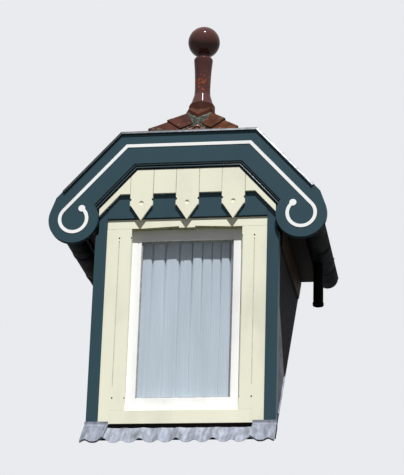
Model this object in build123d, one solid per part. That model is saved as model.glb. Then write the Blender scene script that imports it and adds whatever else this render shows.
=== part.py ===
from build123d import *
import os
from math import acos, atan2, ceil, cos, hypot, radians, sin, sqrt, tan

# A roof dormer window: a tall casement in a boarded front, between corner posts, under a steep
# half-hipped tiled roof with a scrolled bargeboard, a pointed valance and a ball finial.
#
# The row's frame has X to the right, Y back into the main roof and Z up. The whole dormer stands
# on the sloping seat plane of the main roof, z = y * tan(roof_pitch). The origin lies on that
# plane, in the middle of the front curb's sloping underside.
# Heights named ..._height or ..._z without another word are above the underside of the sill.

# Seat on the main roof
roof_pitch = 47.0
tile_build_up = 60.0
curb_depth = 80.0
curb_setback = 10.0
curb_height = 64.0

# Front wall
front_width = 1200.0
post_width = 76.0
post_depth = 90.0
post_notch_depth = 20.0
post_notch_height = 1262.0
frame_height = 1370.0
frame_depth = 120.0
frame_setback = 10.0
jamb_width = 162.0
head_height = 64.0
sill_height = 88.0
rebate = 13.0
rebate_face = 45.0
joint_gap = 5.0
strip_width = 76.0
groove_inset = 82.0
groove_width = 5.0
groove_depth = 4.0
groove_foot_stop = 78.0
groove_head_stop = 20.0
drill_radius = 5.5
drill_depth = 12.0
drill_foot = 81.0
drill_drop = 62.0
arris = 6.0
pendant_width = 106.0
pendant_rise = 10.0
pendant_ramp = 230.0
wall_top_height = 1440.0

# Casement, glass and curtain
sash_depth = 40.0
sash_stile_width = 71.0
sash_top_rail_height = 82.0
sash_bottom_rail_height = 89.0
sash_clearance = 2.0
glass_thickness = 4.0
glass_setback = 16.0
curtain_gap = 12.0
curtain_side_gap = 6.0
curtain_thickness = 16.0
curtain_hem_height = 110.0
rod_radius = 7.0
rod_drop = 44.0

# Bargeboard
slope_angle = 47.7
disc_centre_x = 746.0
disc_centre_height = 1368.0
disc_radius = 165.0
board_top_height = 1948.0
board_width = 201.0
board_outset = 26.0
board_outset_rise = 30.0
board_thickness = 38.0
board_back = 2.0
band_inset = 75.0
band_width = 23.0
band_relief = 3.0
band_ball_radius = 23.0
band_ball_angle = 53.0
moulding_width = 38.0
moulding_thickness = 14.0
capping_thickness = 3.0
capping_drip = 15.0
capping_back_drop = 34.0
capping_foot_rise = 90.0

# Valance
valance_thickness = 18.0
valance_board_width = 151.0
valance_tip_drop = 393.0
valance_shoulder_drop = 290.0
valance_notch_drop = 248.0
valance_notch_radius = 9.0
valance_shoulder_inset = 6.0
valance_short_drop = 207.0
valance_rake = 97.0
valance_recess_radius = 14.0
valance_recess_drop = 272.0
valance_recess_depth = 5.0

# Cheeks
cheek_thickness = 72.0
cheek_setback = 4.0
frieze_height = 172.0
frieze_thickness = 18.0

# Dormer roof: layers measured square to the slope, down from the tile surface
hip_pitch = 43.5
hip_foot_drop = 38.7
tile_surface_inset = 67.0
tile_thickness = 42.0
tile_cover = 228.0
tile_gauge = 330.0
tile_tilt = 14.0
tile_roll_height = 22.0
tile_roll_width = 54.0
cap_bed_rise = 2.0
deck_thickness = 40.0
rafter_depth = 90.0
rafter_width = 45.0
rafter_spacing = 480.0
ridge_board_width = 30.0
ridge_board_height = 150.0
drip_x = 815.0

# Ridge, hips and finial
cap_wing = 118.0
cap_thickness = 38.0
saddle_reach = 165.0
saddle_thickness = 46.0
saddle_collar_radius = 90.0
saddle_collar_top = 2366.0
column_base_radius = 84.0
column_base_height = 14.0
column_foot_radius = 77.0
column_waist_radius = 54.0
column_waist_height = 170.0
column_shoulder_radius = 67.0
column_shoulder_drop = 42.0
column_shoulder_round = 20.0
ball_radius = 111.0
ball_centre_height = 2862.0
ball_seat_radius = 46.0

# Eaves
eave_board_thickness = 20.0
soffit_drop = 100.5
eave_fascia_x = 733.0
eave_fascia_foot = 22.0
gutter_radius = 72.0
gutter_wall = 3.0
gutter_centre_height = 1371.0
gutter_upstand = 16.0
gutter_clear = 4.0
downpipe_radius = 34.0
downpipe_wall = 3.0
downpipe_fascia_gap = 18.0
downpipe_depth = 750.0
downpipe_foot_height = 1005.0

# Lead and zinc
lead_thickness = 5.0
apron_length = 200.0
apron_side_reach = 6.0
cheek_lead_height = 800.0
cheek_lead_depth = 415.0
cheek_lead_thickness = 4.0
valley_width = 190.0
valley_thickness = 5.0

# Derived places
pitch_tan = tan(radians(roof_pitch))
seat_normal = Vector(0, -sin(radians(roof_pitch)), cos(radians(roof_pitch)))
front_y = -curb_depth / 2 - curb_setback
sill_z = curb_height
half_front = front_width / 2
post_inner = half_front - post_width
opening_half = post_inner - jamb_width
post_y1 = front_y + post_depth
frame_y = front_y + frame_setback
board_back_y = front_y - board_back
board_front_y = board_back_y - board_thickness
wall_top_z = sill_z + wall_top_height
panel_bottom_z = sill_z + frame_height + joint_gap
panel_back_y = front_y + eave_board_thickness

slope = radians(slope_angle)
disc_centre = (disc_centre_x, sill_z + disc_centre_height)
board_top_z = sill_z + board_top_height


def along(x, z):
    """Distance of a point out from the middle of the dormer, square to its right-hand slope."""
    return x * sin(slope) + z * cos(slope)


board_edge = along(*disc_centre) + disc_radius
tile_top = board_edge - tile_surface_inset
deck_top = tile_top - tile_thickness
rafter_top = deck_top - deck_thickness
hip_normal = Vector(0, -sin(radians(hip_pitch)), cos(radians(hip_pitch)))
apex_z = tile_top / cos(slope)
hip_apex_depth = (apex_z - board_top_z + hip_foot_drop) / tan(radians(hip_pitch))
hip_apex = Vector(0, front_y + hip_apex_depth, apex_z)
hip_top = hip_normal.dot(hip_apex)
side_normal = Vector(sin(slope), 0, cos(slope))
hip_deck_low = hip_top - tile_thickness - deck_thickness
tile_front_y = board_back_y + capping_thickness
layer_reach = max(front_width, drip_x)
roof_back_y = hip_apex.Z / pitch_tan + layer_reach


def slope_x(offset, z):
    """X of the right-hand slope's layer at a height."""
    return (offset - z * cos(slope)) / sin(slope)


def slope_z(offset, x):
    """Height of the right-hand slope's layer at an X."""
    return (offset - x * sin(slope)) / cos(slope)


def seat_z(y):
    """Height of the seat plane."""
    return y * pitch_tan


soffit_z = slope_z(deck_top, eave_fascia_x) - soffit_drop


def board_corner(inset):
    """Corner between the level board and the right-hand board, at an inset from the outer edge."""
    z = board_top_z - inset
    return slope_x(board_edge - inset, z), z


def board_foot(inset):
    """Point beside the disc's centre where the right-hand board meets the disc, at an inset."""
    reach = disc_radius - inset
    return disc_centre[0] + reach * sin(slope), disc_centre[1] + reach * cos(slope)


def rake_point(inset, rise):
    """Point on the right-hand board's line at an inset, up the slope from its foot."""
    x, z = board_foot(inset)
    return x - rise * cos(slope), z + rise * sin(slope)


def prism_y(points, y0, y1):
    """Solid from an outline in X and Z, between two depths."""
    face = make_face(Polyline(*[(x, y0, z) for x, z in points], close=True))
    return extrude(face, amount=y1 - y0, dir=(0, 1, 0))


def prism_x(points, x0, x1):
    """Solid from an outline in Y and Z, between two widths."""
    face = make_face(Polyline(*[(x0, y, z) for y, z in points], close=True))
    return extrude(face, amount=x1 - x0, dir=(1, 0, 0))


def block(x0, x1, y0, y1, z0, z1):
    """Box between its lowest and highest corners."""
    return Pos((x0 + x1) / 2, (y0 + y1) / 2, (z0 + z1) / 2) * Box(x1 - x0, y1 - y0, z1 - z0)


def rod_y(radius, y0, y1, x, z):
    """Cylinder along Y."""
    return Pos(x, (y0 + y1) / 2, z) * Rot(90, 0, 0) * Cylinder(radius, y1 - y0)


def keep_side(solid, normal, offset):
    """The part of a solid on the far side of the plane normal . p = offset."""
    plane = Plane(origin=normal * offset, z_dir=normal)
    return split(solid, bisect_by=plane, keep=Keep.TOP)


def mirrored(solid):
    """The same piece on the left-hand side."""
    return mirror(solid, about=Plane.YZ)


def export(name, *shapes):
    """Writes one sub-part, of one solid or of several that don't touch."""
    solids = [solid for shape in shapes for solid in shape.solids()]
    export_step(solids[0] if len(solids) == 1 else Compound(children=solids), f"parts/{name}.step")


def export_pair(name, *shapes):
    """Writes a right-hand piece and its mirror image."""
    export(f"{name}_right", *shapes)
    export(f"{name}_left", *[mirrored(shape) for shape in shapes])


# Base and front wall

def front_curb():
    """Bevelled timber under the sill, whose underside lies on the main roof."""
    y0, y1 = -curb_depth / 2, curb_depth / 2
    outline = [(y0, seat_z(y0)), (y1, seat_z(y1)), (y1, sill_z), (y0, sill_z)]
    return prism_x(outline, -half_front, half_front)


def corner_post():
    """Painted post on the curb, notched beside the bargeboard's disc."""
    post = block(post_inner, half_front, front_y, post_y1, sill_z, wall_top_z)
    notch_z = sill_z + post_notch_height
    radius = post_notch_depth
    notch = block(half_front - post_notch_depth, half_front, front_y, post_y1, notch_z + radius, wall_top_z)
    hollow = rod_y(radius, front_y, post_y1, half_front, notch_z + radius)
    return post - notch - hollow


def cheek():
    """Triangular side wall between the corner post, the seat plane and the wall top."""
    outer = half_front - cheek_setback
    outline = [(post_y1, seat_z(post_y1)), (wall_top_z / pitch_tan, wall_top_z), (post_y1, wall_top_z)]
    return prism_x(outline, outer - cheek_thickness, outer)


def frieze_board():
    """Board along the top of the cheek, under the soffit."""
    outer = half_front - cheek_setback
    foot = soffit_z - frieze_height
    rise = tile_build_up / cos(radians(roof_pitch))
    foot_end, top_end = (foot - rise) / pitch_tan, (soffit_z - rise) / pitch_tan
    outline = [(post_y1, foot), (foot_end, foot), (top_end, soffit_z), (post_y1, soffit_z)]
    return prism_x(outline, outer, outer + frieze_thickness)


def frame_jamb():
    """Wide board jamb, rebated for the casement, with a stopped groove and drilled stops."""
    low, top = sill_z + sill_height, sill_z + frame_height - head_height
    back, seat = frame_y + frame_depth, frame_y + rebate_face
    jamb = block(opening_half, post_inner, frame_y, back, low, top)
    jamb += block(post_inner - strip_width, post_inner, frame_y, back, sill_z, low)
    jamb -= block(opening_half, opening_half + rebate, seat, back, low, top)
    groove_x = post_inner - groove_inset
    hole_low, hole_high = low + drill_foot, top - drill_drop
    jamb -= block(groove_x - groove_width / 2, groove_x + groove_width / 2, frame_y, frame_y + groove_depth,
                  hole_low + groove_foot_stop, hole_high - groove_head_stop)
    for x in (groove_x, opening_half):
        for z in (hole_low, hole_high):
            jamb -= rod_y(drill_radius, frame_y, frame_y + drill_depth, x, z)
    corner = [(opening_half, frame_y), (opening_half + arris, frame_y), (opening_half, frame_y + arris)]
    face = make_face(Polyline(*[(x, y, hole_low) for x, y in corner], close=True))
    return jamb - extrude(face, amount=hole_high - hole_low, dir=(0, 0, 1))


def frame_head():
    """Head across both jambs, rebated for the casement, with a low pendant in the middle."""
    top = sill_z + frame_height
    low = top - head_height
    wide = opening_half + rebate
    seat, back = frame_y + rebate_face, frame_y + frame_depth
    head = block(-post_inner, post_inner, frame_y, back, low, top)
    head -= block(-wide, wide, seat, back, low, low + rebate)
    start = pendant_width / 2
    ramp = prism_y([(start, low), (start + pendant_ramp, low), (start, low + pendant_rise)], frame_y, seat)
    return head - ramp - mirrored(ramp)


def frame_sill():
    """Sill rail between the jambs' outer strips, on the curb."""
    half = post_inner - strip_width
    return block(-half, half, frame_y, frame_y + frame_depth, sill_z, sill_z + sill_height)


sash_half = opening_half + rebate - sash_clearance
sash_bottom = sill_z + sill_height
sash_top = sill_z + frame_height - head_height + rebate - sash_clearance
sash_y0 = frame_y + rebate_face
glass_half = sash_half - sash_stile_width
glass_y0 = sash_y0 + glass_setback


def sash_stiles():
    """Both upright members of the casement."""
    right = block(glass_half, sash_half, sash_y0, sash_y0 + sash_depth, sash_bottom, sash_top)
    return [right, mirrored(right)]


def sash_rails():
    """Top and bottom members of the casement, between its stiles."""
    bottom = block(-glass_half, glass_half, sash_y0, sash_y0 + sash_depth,
                   sash_bottom, sash_bottom + sash_bottom_rail_height)
    top = block(-glass_half, glass_half, sash_y0, sash_y0 + sash_depth,
                sash_top - sash_top_rail_height, sash_top)
    return [bottom, top]


def glass_pane():
    """Single pane between the sash members."""
    return block(-glass_half, glass_half, glass_y0, glass_y0 + glass_thickness,
                 sash_bottom + sash_bottom_rail_height, sash_top - sash_top_rail_height)


curtain_y = sash_y0 + sash_depth + curtain_gap
rod_z = sill_z + frame_height - head_height - rod_drop


def curtain():
    """Gathered net hanging from the rod."""
    half = opening_half - curtain_side_gap
    y0 = curtain_y - curtain_thickness / 2
    return block(-half, half, y0, y0 + curtain_thickness, sill_z + curtain_hem_height, rod_z - rod_radius)


def curtain_rod():
    """Rod between the jambs."""
    half = opening_half + rebate
    return Pos(0, curtain_y, rod_z) * Rot(0, 90, 0) * Cylinder(rod_radius, 2 * half)


def gable_panel():
    """Painted boarding over the window, up to the roof deck."""
    right = [(0, panel_bottom_z), (post_inner, panel_bottom_z), (post_inner, wall_top_z),
             (slope_x(rafter_top, wall_top_z), wall_top_z), (0, slope_z(rafter_top, 0))]
    half = prism_y(right, board_back_y, panel_back_y)
    return keep_side(half + mirrored(half), hip_normal * -1, -hip_deck_low)


# Bargeboard

def bargeboard_side():
    """Sloping board whose outset edge runs down to a tangent of its disc."""
    reach = disc_radius + board_outset
    turn = slope + acos(disc_radius / hypot(reach, board_outset_rise)) - atan2(board_outset_rise, reach)
    touch = (disc_centre[0] + disc_radius * sin(turn), disc_centre[1] + disc_radius * cos(turn))
    outline = [board_corner(-board_outset), rake_point(-board_outset, board_outset_rise), touch,
               board_foot(board_width), board_corner(board_width)]
    board = prism_y(outline, board_front_y, board_back_y)
    disc = rod_y(disc_radius, board_front_y, board_back_y, *disc_centre)
    return board + disc


def bargeboard_top():
    """Level board between the two mitres."""
    (ox, oz), (ix, iz) = board_corner(-board_outset), board_corner(board_width)
    return prism_y([(-ox, oz), (ox, oz), (ix, iz), (-ix, iz)], board_front_y, board_back_y)


def white_band():
    """Raised band that follows the board and curls round each disc to a ball."""
    inset0, inset1 = band_inset - band_width / 2, band_inset + band_width / 2
    y0, y1 = board_front_y - band_relief, board_front_y
    (ox, oz), (ix, iz) = board_corner(inset0), board_corner(inset1)
    outer, inner = disc_radius - inset0, disc_radius - inset1
    right = prism_y([(0, oz), (ox, oz), board_foot(inset0), board_foot(inset1), (ix, iz), (0, iz)], y0, y1)
    ring = rod_y(outer, y0, y1, *disc_centre) - rod_y(inner, y0, y1, *disc_centre)
    start, end = radians(90 - slope_angle), radians(180 - band_ball_angle)
    reach = 2 * disc_radius
    middle = (start + end) / 2
    gap = [disc_centre] + [(disc_centre[0] + reach * cos(a), disc_centre[1] + reach * sin(a))
                           for a in (start, middle, end)]
    radius = disc_radius - band_inset
    ball_x, ball_z = disc_centre[0] + radius * cos(end), disc_centre[1] + radius * sin(end)
    ball = rod_y(band_ball_radius, y0, y1, ball_x, ball_z)
    right = right + (ring - prism_y(gap, y0, y1)) + ball
    return right + mirrored(right)


def bargeboard_moulding():
    """Ribbed moulding under the boards' lower edge, in front of the valance."""
    inset0, inset1 = board_width, board_width + moulding_width
    y1 = valance_front_y
    y0 = y1 - moulding_thickness
    (ox, oz), (ix, iz) = board_corner(inset0), board_corner(inset1)
    right = prism_y([(0, oz), (ox, oz), board_foot(inset0), board_foot(inset1), (ix, iz), (0, iz)], y0, y1)
    right = right - rod_y(disc_radius, y0 - 1, y1 + 1, *disc_centre)
    return right + mirrored(right)


def edge_capping():
    """Metal strip folded over the boards' top edge, that stops short of the discs."""
    def run(drop, y0, y1):
        inset0, inset1 = -board_outset - capping_thickness, drop - board_outset
        (ox, oz), (ix, iz) = board_corner(inset0), board_corner(inset1)
        foot = [rake_point(inset0, capping_foot_rise), rake_point(inset1, capping_foot_rise)]
        right = prism_y([(0, oz), (ox, oz)] + foot + [(ix, iz), (0, iz)], y0, y1)
        return right + mirrored(right)
    y0, y1 = board_front_y - capping_thickness, board_back_y + capping_thickness
    top = run(0, y0, y1)
    drip = run(capping_drip, y0, board_front_y)
    back = run(capping_back_drop, board_back_y, y1)
    return top + drip + back


# Valance

valance_front_y = board_back_y - valance_thickness


def valance_top_edge(x):
    """Underside of the bargeboard over a point of the valance."""
    corner_x, corner_z = board_corner(board_width)
    if x <= corner_x:
        return corner_z
    return slope_z(board_edge - board_width, x)


def valance_board_top(left, right):
    """Top corners of a valance board, from right to left."""
    corner_x, corner_z = board_corner(board_width)
    corners = [(x, corner_z) for x in (corner_x, -corner_x) if left < x < right]
    return [(right, valance_top_edge(abs(right)))] + corners + [(left, valance_top_edge(abs(left)))]


def pointed_board(centre):
    """Valance board with side notches, a blind round recess and a pointed foot."""
    half = valance_board_width / 2
    inner = half - valance_shoulder_inset
    hung = valance_top_edge(abs(centre))
    shoulder, tip = hung - valance_shoulder_drop, hung - valance_tip_drop
    left, right = centre - half, centre + half
    outline = [(centre, tip), (centre + inner, shoulder), (right, shoulder)] + valance_board_top(left, right)
    outline += [(left, shoulder), (centre - inner, shoulder)]
    board = prism_y(outline, valance_front_y, board_back_y)
    for side in (left, right):
        board -= rod_y(valance_notch_radius, valance_front_y, board_back_y, side, hung - valance_notch_drop)
    board -= rod_y(valance_recess_radius, valance_front_y, valance_front_y + valance_recess_depth,
                   centre, hung - valance_recess_drop)
    return board


def pointed_boards():
    """The three pointed boards."""
    return [pointed_board(2 * side * valance_board_width) for side in (-1, 0, 1)]


def short_boards():
    """Square-ended boards between the pointed ones, and the raking boards out to the discs."""
    width = valance_board_width
    left, right, start = width / 2, 3 * width / 2, 5 * width / 2
    inner_foot = valance_top_edge(width) - valance_short_drop
    outline = [(left, inner_foot), (right, inner_foot)] + valance_board_top(left, right)
    middle = prism_y(outline, valance_front_y, board_back_y)
    foot = valance_top_edge(2 * width) - valance_short_drop
    rake_x = slope_x(board_edge - board_width, foot) - valance_rake
    end = disc_centre[0] - disc_radius
    low = slope_z(board_edge - board_width, end + valance_rake)
    outline = [(start, foot), (rake_x, foot), (end, low), (end, valance_top_edge(end)),
               (start, valance_top_edge(start))]
    raking = prism_y(outline, valance_front_y, board_back_y)
    raking -= rod_y(disc_radius, valance_front_y, board_back_y, *disc_centre)
    return [middle, mirrored(middle), raking, mirrored(raking)]


# Roof

def side_layer(low, high, y0, x0, x1):
    """Layer of the right-hand slope, mitred to the front hip and cut off on the seat plane."""
    outline = [(x0, slope_z(low, x0)), (x1, slope_z(low, x1)),
               (x1, slope_z(high, x1)), (x0, slope_z(high, x0))]
    return side_cut(prism_y(outline, y0, roof_back_y))


def side_cut(layer):
    """Mitres a right-hand slope to the front hip and cuts it off on the seat plane."""
    mitre = side_normal - hip_normal
    length = mitre.length
    layer = keep_side(layer, mitre / length, (tile_top - hip_top) / length)
    return keep_side(layer, seat_normal, 0)


def front_layer(low_drop, high_drop):
    """Layer of the front hip slope, between its two mitres."""
    foot = tile_front_y

    def hip_z(drop, y):
        return (hip_top - drop + y * sin(radians(hip_pitch))) / cos(radians(hip_pitch))
    back = hip_apex.Y + layer_reach
    outline = [(foot, hip_z(low_drop, foot)), (back, hip_z(low_drop, back)),
               (back, hip_z(high_drop, back)), (foot, hip_z(high_drop, foot))]
    return front_cut(prism_x(outline, -layer_reach, layer_reach))


def front_cut(layer):
    """Mitres the front hip slope to both side slopes."""
    mitre = hip_normal - side_normal
    other = hip_normal - Vector(-side_normal.X, 0, side_normal.Z)
    layer = keep_side(layer, mitre / mitre.length, (hip_top - tile_top) / mitre.length)
    return keep_side(layer, other / other.length, (hip_top - tile_top) / other.length)


fascia_inner = eave_fascia_x - eave_board_thickness
hip_line = side_normal.cross(hip_normal).normalized()
side_out = side_normal.cross(hip_line).normalized()
side_out = side_out if side_out.Y > 0 else side_out * -1
front_out = hip_normal.cross(hip_line).normalized()
front_out = front_out if front_out.X < 0 else front_out * -1


def within_wing(layer, out):
    """The part of a layer that lies under a hip cap's wing."""
    return keep_side(layer, out * -1, -(out.dot(hip_apex) + cap_wing))


def tiled_slope(foot, x0, x1, columns, reach):
    """Stepped courses of tiles with rolls, from a plane at their foot that has its Y up the slope."""
    count = ceil(reach / tile_gauge)
    pan = -cap_bed_rise - tile_roll_height
    steps = [(course * tile_gauge + shift * tile_gauge, pan - shift * tile_tilt)
             for course in range(count) for shift in (0, 1)]
    outline = [(0, -tile_thickness)] + steps + [(count * tile_gauge, -tile_thickness)]
    radius = (tile_roll_width ** 2 / 4 + tile_roll_height ** 2) / (2 * tile_roll_height)
    fall = -atan2(tile_tilt, tile_gauge)
    length = tile_gauge / cos(fall)
    rolls = []
    for course in range(count):
        for x in columns:
            start = Plane(origin=(x, course * tile_gauge, -cap_bed_rise - radius), x_dir=(1, 0, 0),
                          z_dir=(0, cos(fall), sin(fall)))
            rolls.append(start * Cylinder(radius, length, align=(Align.CENTER, Align.CENTER, Align.MIN)))
    laid = prism_x(outline, x0, x1) + rolls
    return foot * (laid & block(x0, x1, 0, count * tile_gauge, -tile_thickness, 0))


def roof_tiles():
    """Tiled right-hand slope from the ridge to the drip, bedded to full thickness under the caps."""
    width = roof_back_y - tile_front_y
    columns = [index * tile_cover for index in range(1, ceil(width / tile_cover))]
    foot = Plane(origin=(drip_x, tile_front_y, slope_z(tile_top, drip_x)), x_dir=(0, 1, 0), z_dir=side_normal)
    relief = tiled_slope(foot, 0, width, columns, drip_x / cos(slope))
    full = side_layer(deck_top, tile_top, tile_front_y, 0, drip_x)
    beds = [within_wing(full, side_out), keep_side(full, Vector(-1, 0, 0), -cap_wing * cos(slope)),
            full & saddle_square()]
    return keep_side(side_cut(relief), Vector(1, 0, 0), 0) + beds


def roof_tiles_front():
    """Tiled front hip slope, bedded to full thickness under the caps."""
    half = ceil(layer_reach / tile_cover) * tile_cover
    columns = [index * tile_cover - half for index in range(1, ceil(2 * half / tile_cover))]
    pitch = radians(hip_pitch)
    foot_z = (hip_top + tile_front_y * sin(pitch)) / cos(pitch)
    foot = Plane(origin=(0, tile_front_y, foot_z), x_dir=(1, 0, 0), z_dir=hip_normal)
    relief = tiled_slope(foot, -half, half, columns, (hip_apex.Y - tile_front_y) / cos(pitch))
    full = front_layer(tile_thickness, 0)
    beds = [within_wing(full, front_out), mirrored(within_wing(full, front_out)), full & saddle_square()]
    return front_cut(relief) + beds


def roof_deck():
    """Boards and battens under the right-hand tiles."""
    return side_layer(rafter_top, deck_top, tile_front_y, 0, fascia_inner)


def rafters():
    """Rafters of the right-hand slope, seated over the cheek and cut off on the seat plane."""
    outer = half_front - cheek_setback
    count = ceil((hip_apex.Z / pitch_tan - panel_back_y) / rafter_spacing)
    x0, x1 = ridge_board_width / 2, fascia_inner
    low = rafter_top - rafter_depth
    outline = [(x0, slope_z(low, x0)), (x1, slope_z(low, x1)),
               (x1, slope_z(rafter_top, x1)), (x0, slope_z(rafter_top, x0))]
    pieces = []
    for index in range(count):
        y0 = panel_back_y + index * rafter_spacing
        y1 = y0 + rafter_width
        rafter = prism_y(outline, y0, y1)
        rafter -= block(outer - cheek_thickness, outer, y0, y1, 0, wall_top_z)
        rafter -= block(outer, x1, y0, y1, 0, soffit_z + eave_board_thickness)
        rafter = keep_side(rafter, hip_normal * -1, hip_deck_low * -1)
        rafter = keep_side(rafter, seat_normal, 0)
        pieces += [solid for solid in rafter.solids() if solid.volume > rafter_width ** 3]
    return pieces


def ridge_board():
    """Board between the rafters' heads."""
    half = ridge_board_width / 2
    top = slope_z(rafter_top, half)
    board = block(-half, half, panel_back_y, roof_back_y, top - ridge_board_height, top)
    board = keep_side(board, hip_normal * -1, hip_deck_low * -1)
    return keep_side(board, seat_normal, 0)


def under_roof(lift):
    """Block round the apex, cut to the three tile surfaces raised by a lift."""
    reach = 2 * saddle_reach
    body = Pos(*hip_apex) * Box(2 * reach, 2 * reach, 2 * reach)
    body = keep_side(body, side_normal * -1, -(tile_top + lift))
    body = keep_side(body, Vector(side_normal.X, 0, -side_normal.Z), -(tile_top + lift))
    return keep_side(body, hip_normal * -1, -(hip_top + lift))


def saddle_square():
    """Upright prism round the apex, with a corner to the front and an edge square to each hip."""
    side = saddle_reach * sqrt(2)
    return Pos(*hip_apex) * Rot(0, 0, 45) * Box(side, side, 4 * saddle_reach)


def hip_cap():
    """Cap tiles and their mortar along the right-hand hip, a wing on each slope."""
    side = side_layer(tile_top, tile_top + cap_thickness, tile_front_y, 0, layer_reach)
    front = front_layer(0, -cap_thickness)
    cap = keep_side(within_wing(side, side_out) + within_wing(front, front_out), Vector(1, 0, 0), 0)
    return keep_side(cap, Vector(0, -1, 0), -hip_apex.Y) - saddle_square()


def ridge_cap():
    """Cap tiles and their mortar along the ridge, down to the seat plane."""
    high = tile_top + cap_thickness
    reach = cap_wing * cos(slope)
    lift_x = reach + cap_thickness * sin(slope)
    outline = [(0, slope_z(tile_top, 0)), (reach, slope_z(tile_top, reach)),
               (lift_x, slope_z(high, lift_x)), (0, slope_z(high, 0))]
    half = prism_y(outline, hip_apex.Y, roof_back_y)
    return keep_side(half + mirrored(half), seat_normal, 0) - saddle_square()


def saddle_tile():
    """Pointed piece over the apex, with a collar for the finial."""
    collar_top = sill_z + saddle_collar_top
    collar = Pos(0, hip_apex.Y, collar_top - saddle_reach) * Cylinder(
        saddle_collar_radius, saddle_reach, align=(Align.CENTER, Align.CENTER, Align.MIN))
    shell = under_roof(saddle_thickness) & saddle_square()
    return keep_side(shell + collar - under_roof(0), Vector(0, 0, -1), -collar_top)


ball_centre_z = sill_z + ball_centre_height
ball_seat_z = ball_centre_z - sqrt(ball_radius ** 2 - ball_seat_radius ** 2)


def finial_column():
    """Turned column with a rim at its foot, a hollow waist and a rounded shoulder."""
    foot = sill_z + saddle_collar_top
    height = ball_seat_z - foot
    shoulder = height - column_shoulder_drop
    top = shoulder + column_shoulder_round

    def place(radius, z):
        return (radius, hip_apex.Y, foot + z)
    waist = ThreePointArc(place(column_foot_radius, column_base_height),
                          place(column_waist_radius, column_waist_height),
                          place(column_shoulder_radius, shoulder))
    rim = Polyline(place(0, height), place(0, 0), place(column_base_radius, 0),
                   place(column_base_radius, column_base_height),
                   place(column_foot_radius, column_base_height))
    neck = Polyline(place(column_shoulder_radius, shoulder), place(ball_seat_radius, top),
                    place(ball_seat_radius, height), place(0, height))
    return revolve(make_face([rim, waist, neck]), axis=Axis((0, hip_apex.Y, 0), (0, 0, 1)))


def finial_ball():
    """Ball with a flat seat on the column."""
    ball = Pos(0, hip_apex.Y, ball_centre_z) * Sphere(ball_radius)
    return keep_side(ball, Vector(0, 0, 1), ball_seat_z)


# Eaves

def eave_end_y(z):
    """Depth at which something at a height meets the main roof's tiles."""
    return (z - tile_build_up / cos(radians(roof_pitch))) / pitch_tan


def eave_boards():
    """Soffit and eave fascia, as one boxed piece."""
    outer = half_front - cheek_setback
    foot = soffit_z - eave_fascia_foot
    soffit_top = soffit_z + eave_board_thickness
    top = slope_z(deck_top, eave_fascia_x)
    outline = [(outer, soffit_z), (fascia_inner, soffit_z), (fascia_inner, foot), (eave_fascia_x, foot),
               (eave_fascia_x, top), (fascia_inner, slope_z(deck_top, fascia_inner)),
               (fascia_inner, soffit_top), (outer, soffit_top)]
    return prism_y(outline, tile_front_y, eave_end_y(foot))


gutter_x = eave_fascia_x + gutter_radius
gutter_z = sill_z + gutter_centre_height
downpipe_x = eave_fascia_x + downpipe_fascia_gap + downpipe_radius


def eave_gutter():
    """Half-round gutter with closed ends and a back upstand on the fascia."""
    y0, y1 = tile_front_y + gutter_clear, eave_end_y(gutter_z - gutter_radius)
    inner = gutter_radius - gutter_wall
    trough = rod_y(gutter_radius, y0, y1, gutter_x, gutter_z)
    trough -= rod_y(inner, y0 + gutter_wall, y1 - gutter_wall, gutter_x, gutter_z)
    trough -= block(eave_fascia_x, gutter_x + gutter_radius, y0, y1, gutter_z, gutter_z + gutter_radius)
    upstand = block(eave_fascia_x, eave_fascia_x + gutter_wall, y0, y1, gutter_z, gutter_z + gutter_upstand)
    return trough + upstand


def outlet_gutter():
    """Right-hand gutter, with the hole over its downpipe."""
    bore = downpipe_radius - downpipe_wall
    hole = Pos(downpipe_x, front_y + downpipe_depth, gutter_z - gutter_radius) * Cylinder(bore, gutter_radius)
    return eave_gutter() - hole


def downpipe():
    """Short outlet pipe that drips on the main roof."""
    foot = sill_z + downpipe_foot_height
    place = Pos(downpipe_x, front_y + downpipe_depth, foot)
    up = (Align.CENTER, Align.CENTER, Align.MIN)
    pipe = place * Cylinder(downpipe_radius, gutter_z - foot, align=up)
    pipe -= place * Cylinder(downpipe_radius - downpipe_wall, gutter_z - foot, align=up)
    return pipe - rod_y(gutter_radius, front_y, front_y + 2 * downpipe_depth, gutter_x, gutter_z)


# Lead

def tile_plane_z(y):
    """Height of the main roof's tile surface."""
    return seat_z(y) + tile_build_up / cos(radians(roof_pitch))


def lead_apron():
    """Apron down over the main roof's tiles, turned up in front of the curb."""
    y1 = -curb_depth / 2
    y0 = y1 - lead_thickness
    low_y = y1 - apron_length * cos(radians(roof_pitch))
    rise = lead_thickness / cos(radians(roof_pitch))
    outline = [(low_y, tile_plane_z(low_y)), (y1, tile_plane_z(y1)), (y1, sill_z), (y0, sill_z),
               (y0, tile_plane_z(y0) + rise), (low_y, tile_plane_z(low_y) + rise)]
    return prism_x(outline, -half_front - apron_side_reach, half_front + apron_side_reach)


def cheek_lead():
    """Triangular lead upstand low on the cheek, behind the corner post."""
    outer = half_front - cheek_setback
    top = sill_z + cheek_lead_height
    end = front_y + cheek_lead_depth
    outline = [(post_y1, tile_plane_z(post_y1)), (end, tile_plane_z(end)), (post_y1, top)]
    return prism_x(outline, outer, outer + cheek_lead_thickness)


def valley_strip():
    """Lead valley on the main roof beside the right-hand slope."""
    angle = side_normal.get_angle(seat_normal)
    high = tile_top + valley_width * sin(radians(angle))
    outline = [(0, slope_z(tile_top, 0)), (drip_x, slope_z(tile_top, drip_x)),
               (drip_x, slope_z(high, drip_x)), (0, slope_z(high, 0))]
    strip = prism_y(outline, eave_end_y(gutter_z - gutter_radius), roof_back_y + layer_reach)
    strip = keep_side(strip, seat_normal, 0)
    strip = keep_side(strip, Vector(1, 0, 0), cap_wing * cos(slope) + cap_thickness * sin(slope))
    return keep_side(strip, seat_normal * -1, -valley_thickness)


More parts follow.
